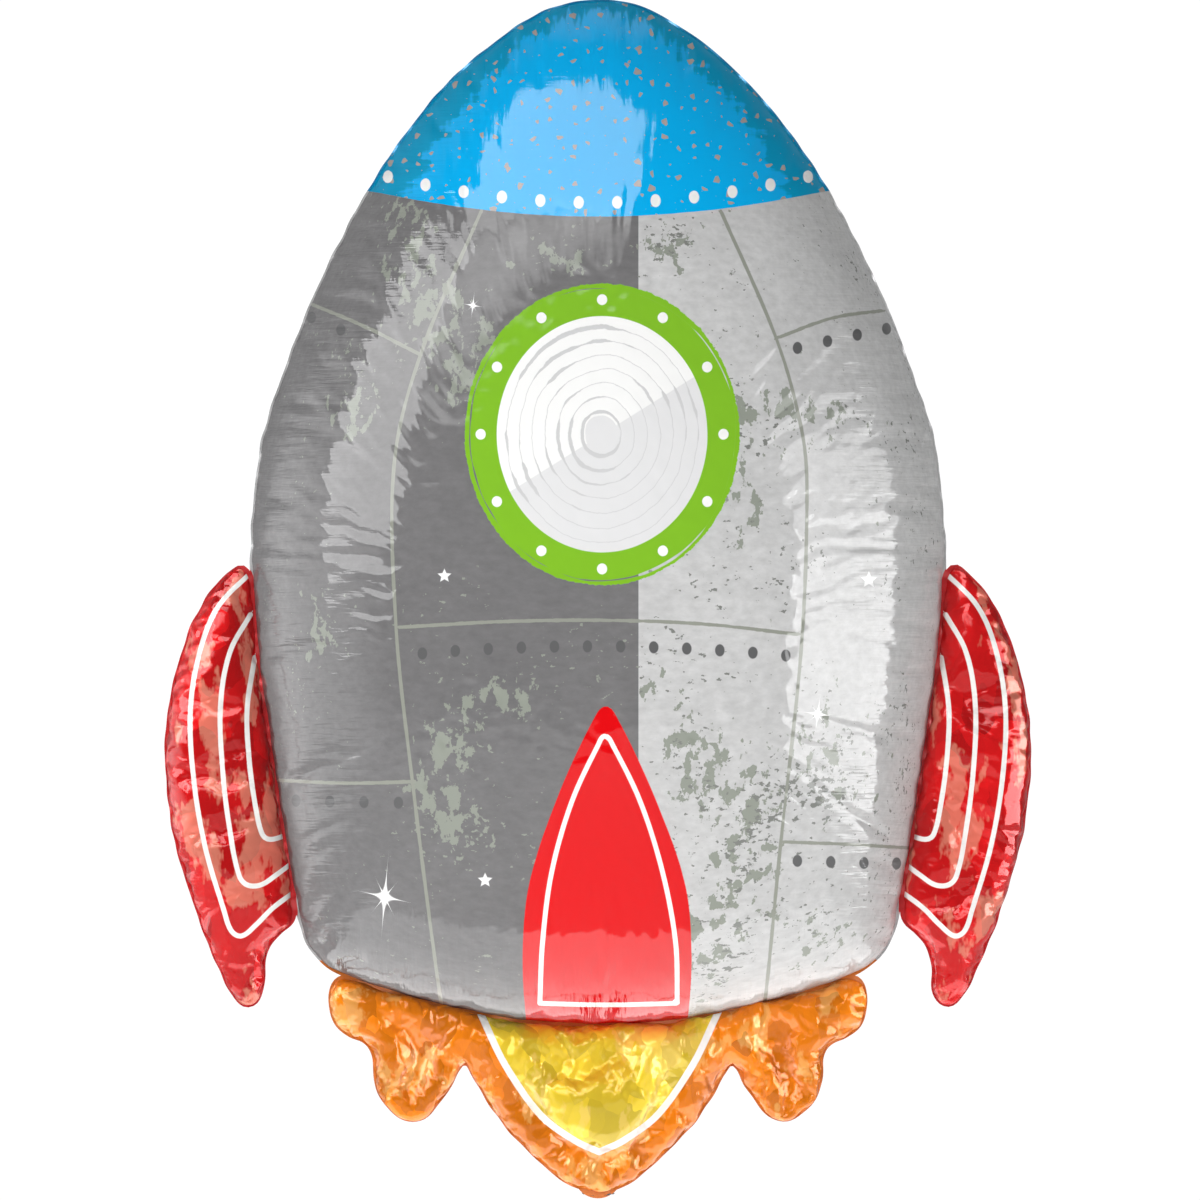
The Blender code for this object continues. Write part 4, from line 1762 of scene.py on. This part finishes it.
def press_creases(piece: Piece, side: Side, creases: Sequence[Sequence[float]]) -> None:
    """Presses sharp stress creases into a film, from the seam inwards.

    Args:
        piece: The film, subdivided.
        side: The front or the back.
        creases: Each one's start (x, z), end (x, z), depth and width.
    """
    points = vertices_of(piece)
    for start_x, start_z, end_x, end_z, depth, width in creases:
        span = np.array([end_x - start_x, end_z - start_z])
        length = np.linalg.norm(span)
        reach = points[:, [0, 2]] - np.array([start_x, start_z])
        along = reach @ span / length
        across = reach @ np.array([-span[1], span[0]]) / length
        share = np.clip(along / length, 0, 1)
        taper = np.where((along > 0) & (along < length), np.sin(math.pi * share**0.6) ** 0.7, 0.0)
        points[:, 1] -= side.value * depth * taper * np.exp(-((across / width) ** 2))
    move_vertices(piece, points)


# The photo's body mirrors neither the fins nor the flames, so their films stay out of all reflections
UNMIRRORED = ("fin_foil", "flame_foil")


def dress(piece: Piece, material: Material, slot: str, *nodes: str) -> None:
    """Gives a finished piece its material and its body, hides the frame's nodes it stands for, and keeps fin
    and flame films out of reflections.

    Args:
        piece: The piece.
        material: Its finish.
        slot: The record's material slot.
        *nodes: The frame's nodes that it replaces.
    """
    piece.data.materials.clear()
    piece.data.materials.append(material)
    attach(piece, "root")
    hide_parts(*nodes)
    piece.visible_glossy = slot not in UNMIRRORED
    LOG.info("%s: %d faces", piece.name, len(piece.data.polygons))


@dataclass
class SealWeb:
    """The flat heat seal: a border round every chamber, and the inner seals where two borders meet.

    Attributes:
        chambers: The body, the two fins and the flames, in this order.
        spacing: Distance between the points of its edges.
        foot_radius: Radius of the blunt foot, where the tail springs from.
        foot_middle: Height of the foot's middle.
        thickness: The two films together, thicker than real ones so that their edge shows.
        smooth_angle: Edges sharper than this are drawn sharp.
        spared: An edge's point stays where this share of the seal's width is free beside it.
        under_fin: How near to the body's seam another ink begins, in widths of the seal.
        round_fin: How far a fin's ink reaches out from its seam, in widths of the seal.
        round_flame: How far the flames' ink reaches out, in widths of the seal.
        name: The piece's name.
    """

    chambers: Sequence[FoilChamber]
    spacing: float = 0.002
    foot_radius: float = 0.015
    foot_middle: float = 0.016
    thickness: float = 0.0003
    smooth_angle: float = math.radians(40)
    spared: float = 0.97
    under_fin: float = 0.3
    round_fin: float = 1.2
    round_flame: float = 6.0
    name: str = "seal_edge"

    def build(self) -> Piece:
        """Builds the seal as one thin, rippled sheet.

        Returns:
            The piece.
        """
        bands = [self._moved(chamber.outline.line(self.spacing), SEAL_WIDTH) for chamber in self.chambers]
        bands.append(self._foot())
        holes = [self._moved(chamber.seam(self.spacing), -SEAL_SEAT) for chamber in self.chambers]
        flat, rings = [], []
        for line in bands + holes:
            rings.append(list(range(len(flat), len(flat) + len(line))))
            flat += [Vector((float(x), float(z))) for x, z in line[::-1]]
        corners, _, faces, _, _, face_sources = delaunay_2d_cdt(flat, [], rings, 0, 1e-7)
        kept = [
            tuple(face) for face, sources in zip(faces, face_sources) if sources and max(sources) < len(bands)
        ]
        places = np.array([(v.x, v.y) for v in corners])
        wave = RIPPLE.at(places[:, 0], places[:, 1])
        piece = new_piece(self.name, np.stack([places[:, 0], wave, places[:, 1]], axis=1), kept)
        edit_all(bpy.ops.mesh.delete_loose, point_out)
        give_wall(piece, self.thickness, 0, self.smooth_angle)
        return piece

    @staticmethod
    def _moved(seam: Points, distance: float) -> Points:
        """The seam moved outwards, without the stretches that would cross at its notches.

        Args:
            seam: Seam line of a chamber.
            distance: How far outwards; less than 0 is inwards.

        Returns:
            The moved line.
        """
        moved = seam + line_normals(seam) * distance
        gap = nearest_on(seam, moved)[0]
        return moved[gap > abs(distance) * SealWeb.spared]

    def _foot(self) -> Points:
        """The blunt foot of the seal, where the tail springs from.

        Returns:
            A circle, one row for each point.
        """
        turn = np.linspace(0, math.tau, 64, endpoint=False)
        around = self.foot_radius * np.stack([np.sin(turn), np.cos(turn)], axis=1)
        return around + np.array([0.0, self.foot_middle])

    def shapes(self) -> Shapes:
        """Which chamber's ink runs out over each stretch of the seal, in the darker tones that are painted
        shade.

        Returns:
            A measure for each attribute's name.
        """
        body, *fins, flame = (chamber.outline.line(self.spacing) for chamber in self.chambers)

        def near(seams: Sequence[Points], reach: float, points: Points) -> Points:
            """Positive within a reach of some seams, but for a strip beside the body's seam.

            Args:
                seams: Seams to keep near.
                reach: How far from them.
                points: Points, one row each.

            Returns:
                A distance for each point.
            """
            gap = np.min([nearest_on(seam, points)[0] for seam in seams], axis=0)
            strip = nearest_on(body, points)[0] - self.under_fin * SEAL_WIDTH
            return np.minimum(strip, reach * SEAL_WIDTH - gap)

        return {
            "nose": BodyPrint().shapes()["nose"],
            "near_fin": partial(near, fins, self.round_fin),
            "near_flame": partial(near, [flame], self.round_flame),
        }


SLEEVE_SMOOTH = math.radians(50)


def sleeve(name: str, front: Points, back: Points, closed_top: bool) -> Piece:
    """Joins two films along their long edges into a sleeve, closed at its foot.

    Args:
        name: The piece's name.
        front: One film's points, in rows from the foot up.
        back: The other film's points, which share the first and last of each row.
        closed_top: Whether the sleeve is closed at its top as well.

    Returns:
        The sleeve, with its faces pointing out.
    """
    points = np.concatenate([front, back[:, -2:0:-1]], axis=1)
    rows, around = points.shape[:2]
    faces = []
    for low in range(0, (rows - 1) * around, around):
        for k in range(around):
            beside = (k + 1) % around
            faces.append((low + k, low + beside, low + around + beside, low + around + k))
    faces.append(tuple(range(around))[::-1])
    if closed_top:
        faces.append(tuple(range((rows - 1) * around, rows * around)))
    piece = new_piece(name, points.reshape(-1, 3), faces)
    edit_all(point_out)
    bpy.ops.object.shade_smooth_by_angle(angle=SLEEVE_SMOOTH)
    return piece


@dataclass(frozen=True)
class InflationTail:
    """The unprinted inflation tail, folded up behind the flames: two films sealed along their long edges."""

    middle_line: Line = (
        (0.0, 0.0036), (0.008, 0.0038), (0.017, 0.006), (0.026, 0.013), (0.034, 0.024),
        (0.0395, 0.038), (0.0415, 0.052), (0.0415, 0.062), (0.0415, 0.08), (0.0415, 0.096),
    )
    width: float = 0.02
    thickness: float = 0.0024
    film: float = 0.00016
    sealed_share: float = 0.8
    sunk: float = 0.0005
    crease_waves_mm: tuple[float, ...] = (3.1, 4.7, 7.9, 13.0)
    crease_height: float = 0.00022
    sway: float = 0.0003
    sway_mm: float = 31.0
    edge_in: float = 0.02
    edge_mm: float = 9.0
    across: int = 20
    spacing: float = 0.0011
    seed: int = 71
    name: str = "tail_film"

    def build(self) -> Piece:
        """Builds the tail as a thin, creased sleeve that is open at its mouth.

        Returns:
            The piece.
        """
        line = smooth_line(self.middle_line, self.spacing, closed=False)
        heading = np.gradient(line, axis=0)
        heading /= np.linalg.norm(heading, axis=1, keepdims=True)
        out = np.stack([-heading[:, 1], heading[:, 0]], axis=1)
        share = np.linspace(-1, 1, self.across + 1)
        random = np.random.default_rng(self.seed)
        front = self._film(line, out, share, random)
        back = self._film(line, -out, share, random)
        piece = sleeve(self.name, front, back, closed_top=False)
        give_wall(piece, self.film, -1, SLEEVE_SMOOTH)
        return piece

    def _film(self, line: Points, out: Points, share: Points, random: np.random.Generator) -> Points:
        """One of the tail's two films, bulged between its sealed edges and creased across.

        Args:
            line: The tail's middle line as (y, z).
            out: Which way this film faces at each place of the line.
            share: Places across the tail, from -1 to 1.
            random: Where its creases come from.

        Returns:
            Its points, one row of points for each place of the line.
        """
        bulge = np.clip(1 - (np.abs(share) / self.sealed_share) ** 4, 0, 1) ** 0.7
        along = np.arange(len(line))[:, None] * self.spacing * MM
        crease = np.zeros((len(line), len(share)))
        for wave_mm in self.crease_waves_mm:
            slant = random.uniform(-3.0, 3.0)
            phase = random.uniform(0, math.tau)
            wave = np.sin(math.tau * along / wave_mm + slant * share[None] + phase)
            crease += wave_mm / self.crease_waves_mm[-1] * wave
        height = self.film + bulge[None] * (self.thickness / 2 - self.sunk + self.crease_height * crease)
        sway = self.sway * np.sin(math.tau * along / self.sway_mm + 1.0)
        drawn_in = 1 - self.edge_in * np.abs(np.sin(math.tau * along / self.edge_mm))
        x = share[None] * self.width / 2 * drawn_in + sway
        y = line[:, :1] + out[:, :1] * height
        z = line[:, 1:] + out[:, 1:] * height
        return np.stack([x, y, z], axis=2)


@dataclass(frozen=True)
class ValveFilm:
    """The clear valve film in the tail's mouth: two layers round a flat channel, curled at the free end."""

    width: float = 0.0154
    foot: float = 0.0763
    top: float = 0.104
    middle_y: float = 0.0415
    gap: float = 0.0002
    half_film: float = 0.00004
    channel: float = 0.0042
    across: int = 22
    up: int = 30
    free_from: float = 0.72
    curl: float = 0.0009
    curl_back: float = 0.0003
    corner_from: float = 0.94
    corner_cut: float = 0.12
    name: str = "valve_sheet"

    def build(self) -> Piece:
        """Builds both layers as one sleeve.

        Returns:
            The piece.
        """
        share = np.linspace(-1, 1, self.across + 1)
        rise = np.linspace(0, 1, self.up + 1)[:, None]
        free = np.clip((rise - self.free_from) / (1 - self.free_from), 0, 1)
        end = np.clip((rise - self.corner_from) / (1 - self.corner_from), 0, 1)
        x = share[None] * self.width / 2 * (1 - self.corner_cut * end**2)
        z = self.foot + (self.top - self.foot) * rise + 0 * x
        bend = self.middle_y + self.curl * free**2 * np.cos(share[None] * 2.2) - self.curl_back * free
        swell = self.gap * np.clip(1 - (x / self.channel) ** 2, 0, 1) + self.half_film
        front = np.stack([x, bend - swell, z], axis=2)
        back = np.stack([x, bend + swell, z], axis=2)
        return sleeve(self.name, front, back, closed_top=True)


def way_to(turn: float, rise: float) -> Vector:
    """The way from the balloon's middle to a part of the studio.

    Args:
        turn: Degrees round from the front, positive to the right.
        rise: Degrees above the level.

    Returns:
        A vector of length 1.
    """
    turn, rise = math.radians(turn), math.radians(rise)
    return Vector((math.sin(turn) * math.cos(rise), -math.cos(turn) * math.cos(rise), math.sin(rise)))


class Glow(Enum):
    """What a studio lamp is for; foil needs its reflections and its brightness set apart."""

    FILL = "fill"
    CARD = "card"


@dataclass(frozen=True)
class Lamp:
    """A soft lamp that faces the balloon.

    Attributes:
        name: The lamp's name.
        turn: Degrees round from the front, positive to the right.
        rise: Degrees above the balloon's middle.
        size: Width and height in metres.
        radiance: How bright its face looks.
        glow: Whether it is a card that the foil mirrors, or a fill that only brightens the inks.
        away: Distance from the balloon's middle.
    """

    name: str
    turn: float
    rise: float
    size: Pair
    radiance: float
    glow: Glow
    away: float = 2.0


@dataclass(frozen=True)
class Wall:
    """A soft-edged bright part of the room, which only the foil's gloss mirrors.

    Attributes:
        name: What it stands for.
        turn: Degrees round from the front to its middle, positive to the right.
        rise: Degrees above the level to its middle.
        radiance: How bright it looks.
        inner: Degrees from its middle to where it begins to fade.
        outer: Degrees from its middle to where it is gone.
        behind_softbox: Whether the top softbox hides the part of it that is above the softbox's lower edge.
    """

    name: str
    turn: float
    rise: float
    radiance: float
    inner: float
    outer: float
    behind_softbox: bool = False


@dataclass
class Studio:
    """A pale floor under soft lamps, and a long lens at the photo's angle."""

    floor_z: float = -0.32
    floor_radius: float = 2.4
    middle: tuple[float, float, float] = (0.0, 0.0, 0.37)
    camera_y: float = -12.0
    frame_height: float = PHOTO_SIDE * METRES_PER_PIXEL
    sensor_mm: float = 36.0
    paper: str = "#F7F7F6"
    floor_glow: float = 0.4
    room_glow: float = 0.14
    paper_glow: float = 0.9
    softbox_edge: float = 36.5
    edge_blur: float = 0.02
    lamps: tuple[Lamp, ...] = (
        Lamp("top_softbox", -24, 55, (2.0, 1.07), 6.4, Glow.CARD),
        Lamp("left_panel", -66, 19, (1.15, 1.26), 8.0, Glow.CARD),
        Lamp("right_panel_low", 72, -12, (1.85, 0.95), 9.5, Glow.CARD),
        Lamp("right_panel_high", 72, 9, (1.85, 0.62), 5.0, Glow.CARD),
        Lamp("front_fill", -10, 24, (2.6, 2.6), 3.6, Glow.FILL, away=3.6),
        Lamp("left_fill", -80, -4, (2.2, 2.2), 2.6, Glow.FILL, away=3.6),
        Lamp("right_fill", 85, -4, (2.2, 2.2), 0.85, Glow.FILL, away=3.6),
        Lamp("low_fill", 0, -60, (2.2, 1.2), 0.6, Glow.FILL, away=0.9),
        Lamp("back_fill", 175, 25, (2.6, 2.6), 4.0, Glow.FILL, away=3.6),
    )
    table: Lamp = Lamp("lit_table", 0, -90, (1.5, 0.9), 2.6, Glow.CARD)
    table_y: float = 0.16
    walls: tuple[Wall, ...] = (
        Wall("left_wall", -98, -18, 3.0, inner=12, outer=48),
        Wall("left_high_wall", -118, 14, 0.4, inner=12, outer=40),
        Wall("under_softbox_right", 0, 35, 5.0, inner=3, outer=11, behind_softbox=True),
        Wall("under_softbox_middle", -18, 33, 5.0, inner=3, outer=13, behind_softbox=True),
        Wall("under_softbox_left", -38, 28, 5.0, inner=5, outer=16, behind_softbox=True),
        Wall("back_wall", 180, -30, 0.4, inner=30, outer=75),
        Wall("back_light", 180, 64, 0.6, inner=6, outer=30),
    )

    def build(self) -> None:
        """Sets the floor, the room, the lamps and the camera."""
        self._floor()
        self._room()
        for lamp in self.lamps:
            away = way_to(lamp.turn, lamp.rise)
            self._light(lamp, Vector(self.middle) + away * lamp.away, -away)
        self._light(self.table, Vector((0.0, self.table_y, self.floor_z + 0.01)), Vector((0.0, 0.0, 1.0)))
        self._camera()

    def _floor(self) -> None:
        """A round, pale paper floor, bright enough to run into the backdrop without an edge."""
        deselect_all()
        bpy.ops.mesh.primitive_circle_add(
            vertices=96, radius=self.floor_radius, fill_type="NGON", location=(0.0, 0.0, self.floor_z)
        )
        floor = bpy.context.object
        floor.name = "studio_floor"
        paper = Finish("studio_paper")
        pale = linear(self.paper)
        paper.set(Base_Color=pale, Roughness=0.9, Emission_Color=pale, Emission_Strength=self.floor_glow)
        floor.data.materials.append(paper.material)

    def _room(self) -> None:
        """White paper all round for the camera, and a dimmer room for the foil to mirror."""
        room = bpy.data.worlds.new("studio_room")
        room.use_nodes = True
        nodes = Nodes(room.node_tree)
        toward = nodes.add("TexCoord", output="Generated")
        clear = self._below_softbox(nodes, toward)
        seen: object = 0.0
        for wall in self.walls:
            near = nodes.add(
                "VectorMath", toward, way_to(wall.turn, wall.rise), output="Value", operation="DOT_PRODUCT"
            )
            outer, inner = (math.cos(math.radians(angle)) for angle in (wall.outer, wall.inner))
            fade = (near, outer, inner, 0, wall.radiance)
            glow = nodes.add("MapRange", *fade, interpolation_type="SMOOTHSTEP")
            shown = clear if wall.behind_softbox else 1.0
            seen = nodes.add("Math", glow, shown, seen, operation="MULTIPLY_ADD")
        ray = nodes.add("LightPath").node.outputs
        strength = nodes.add("Math", seen, ray["Is Glossy Ray"], self.room_glow, operation="MULTIPLY_ADD")
        camera_part = (ray["Is Camera Ray"], self.paper_glow, strength)
        strength = nodes.add("Math", *camera_part, operation="MULTIPLY_ADD")
        backdrop = room.node_tree.nodes["Background"]
        backdrop.inputs["Color"].default_value = linear("#FFFFFF")
        room.node_tree.links.new(strength, backdrop.inputs["Strength"])
        bpy.context.scene.world = room

    def _below_softbox(self, nodes: Nodes, toward: Socket) -> Socket:
        """A mask that is 1 below the plane through the balloon and the top softbox's lower edge.

        Args:
            nodes: The room's node tree.
            toward: Which way each ray looks.

        Returns:
            The mask.
        """
        turn, slope = math.radians(self.lamps[0].turn), math.tan(math.radians(self.softbox_edge))
        above = Vector((-slope * math.sin(turn), slope * math.cos(turn), 1.0)).normalized()
        over = nodes.add("VectorMath", toward, above, output="Value", operation="DOT_PRODUCT")
        return nodes.add("MapRange", over, -self.edge_blur, self.edge_blur, 1, 0)

    @staticmethod
    def _light(lamp: Lamp, place: Vector, aim: Vector) -> None:
        """Adds one lamp.

        Args:
            lamp: What it is like.
            place: Where it stands.
            aim: Which way it shines.
        """
        deselect_all()
        turned = aim.to_track_quat("-Z", "Y").to_euler()
        bpy.ops.object.light_add(type="AREA", location=place, rotation=turned)
        light = bpy.context.object
        light.name = lamp.name
        light.data.shape = "RECTANGLE"
        light.data.size, light.data.size_y = lamp.size
        light.data.energy = lamp.radiance * math.pi * lamp.size[0] * lamp.size[1]
        light.visible_camera = False
        light.visible_glossy = lamp.glow is Glow.CARD
        light.visible_diffuse = lamp.glow is Glow.FILL

    def _camera(self) -> None:
        """Looks straight at the front, framed as the photograph is."""
        lens = bpy.data.cameras.new("camera")
        lens.sensor_width = self.sensor_mm
        lens.lens = self.sensor_mm * -self.camera_y / self.frame_height
        lens.clip_end = 50.0
        eye = bpy.data.objects.new("camera", lens)
        bpy.context.scene.collection.objects.link(eye)
        middle_x = (PHOTO_SIDE / 2 - PHOTO_MIDDLE) * METRES_PER_PIXEL
        eye.location = (middle_x, self.camera_y, self.frame_height / 2)
        eye.rotation_euler = (math.pi / 2, 0.0, 0.0)
        bpy.context.scene.camera = eye
        bpy.context.scene.view_settings.view_transform = "Standard"


def chambers() -> list[FoilChamber]:
    """The balloon's four gas-filled chambers.

    Returns:
        The body, both fins and the flames.
    """
    body = Swelling(0.135, start=0.92, spare=0.008, pressure=30.0, steps=22, cap=0.008)
    fin = Swelling(0.025, start=0.84, spare=0.04, pressure=14.0, steps=26, cap=0.012, roughness=0.00004)
    flame = Swelling(0.035, start=0.75, spare=0.08, pressure=12.0, steps=32, cap=0.02, roughness=0.00004)
    small = {"spacing": 0.002, "neighbours": (BODY,)}
    return [
        FoilChamber(
            "body", BODY, body, spacing=0.004, rings=22, reach=0.4, centre=(0.0, 0.33), seed=11,
            neighbours=(FIN_LEFT, FIN_RIGHT, FLAME), shared=0.001, twin_films=False,
        ),
        FoilChamber("fin_left", FIN_LEFT, fin, rings=6, reach=0.003, seed=23, **small),
        FoilChamber("fin_right", FIN_RIGHT, fin, rings=6, reach=0.003, seed=37, **small),
        FoilChamber("flame", FLAME, flame, rings=8, reach=0.005, seed=53, **small),
    ]


# Stress creases that run in from the body's corners at the fins: start, end, depth and width
NOTCH_CREASES = (
    (-0.211, 0.3985, -0.133, 0.396, 0.0016, 0.0022),
    (-0.208, 0.404, -0.165, 0.4085, 0.0011, 0.002),
    (-0.208, 0.39, -0.15, 0.386, 0.0009, 0.002),
    (0.211, 0.399, 0.13, 0.4015, 0.0016, 0.0022),
    (0.208, 0.4045, 0.16, 0.408, 0.001, 0.002),
    (0.208, 0.39, 0.16, 0.388, 0.0009, 0.002),
    (0.185, 0.219, 0.145, 0.244, 0.001, 0.0022),
    (-0.185, 0.219, -0.15, 0.238, 0.001, 0.0022),
)


def main() -> None:
    """Builds every piece, dresses it and closes the scene."""
    logging.basicConfig(level=logging.INFO, format="%(name)s %(message)s")
    # The fin and flame films carry painted shade and painted highlights on their facets
    red = ColourFilm(
        "metallised_nylon_red_dye", "#D4171A", "stripes", 3.0,
        crumple_mm=0.9, calm_axis="X", calm_at=0.25, crumpled_at=0.222, facet_mm=16.0,
    ).build()
    finishes = {
        "body": (BodyFilm().build(), "body_foil", BodyPrint().shapes()),
        "fin_left": (red, "fin_foil", FinPrint().shapes()),
        "fin_right": (red, "fin_foil", FinPrint(flipped=True).shapes()),
        "flame": (
            ColourFilm(
                "metallised_nylon_orange_dye", "#F08214", "heart_line", 4.2,
                crumple_mm=1.8, calm_axis="Z", calm_at=0.028, crumpled_at=0.075,
                # pale is the colour of the flame's painted highlight patches
                heart="#EFD038", pale="#FFD884",
            ).build(),
            "flame_foil",
            FlamePrint().shapes(),
        ),
    }
    filled = chambers()
    for chamber in filled:
        material, slot, shapes = finishes[chamber.name]
        for side, film in chamber.films().items():
            subdivide(film)
            if chamber.name == "body":
                press_creases(film, side, NOTCH_CREASES)
            print_shapes(film, {**shapes, **pucker_shapes(chamber)})
            node = f"{chamber.name}_{side.name.lower()}"
            film.name = f"{chamber.name}_film_{side.name.lower()}"
            dress(film, material, slot, node)
    seal = SealWeb(filled)
    edge = seal.build()
    print_shapes(edge, seal.shapes())
    dress(edge, SealFilm().build(), "seal_foil", "seal_web")
    dress(InflationTail().build(), TailFilm().build(), "seal_foil", "inflation_tail")
    dress(ValveFilm().build(), ValvePlastic().build(), "valve_film", "valve_film")
    Studio().build()


if __name__ == "__main__":
    main()
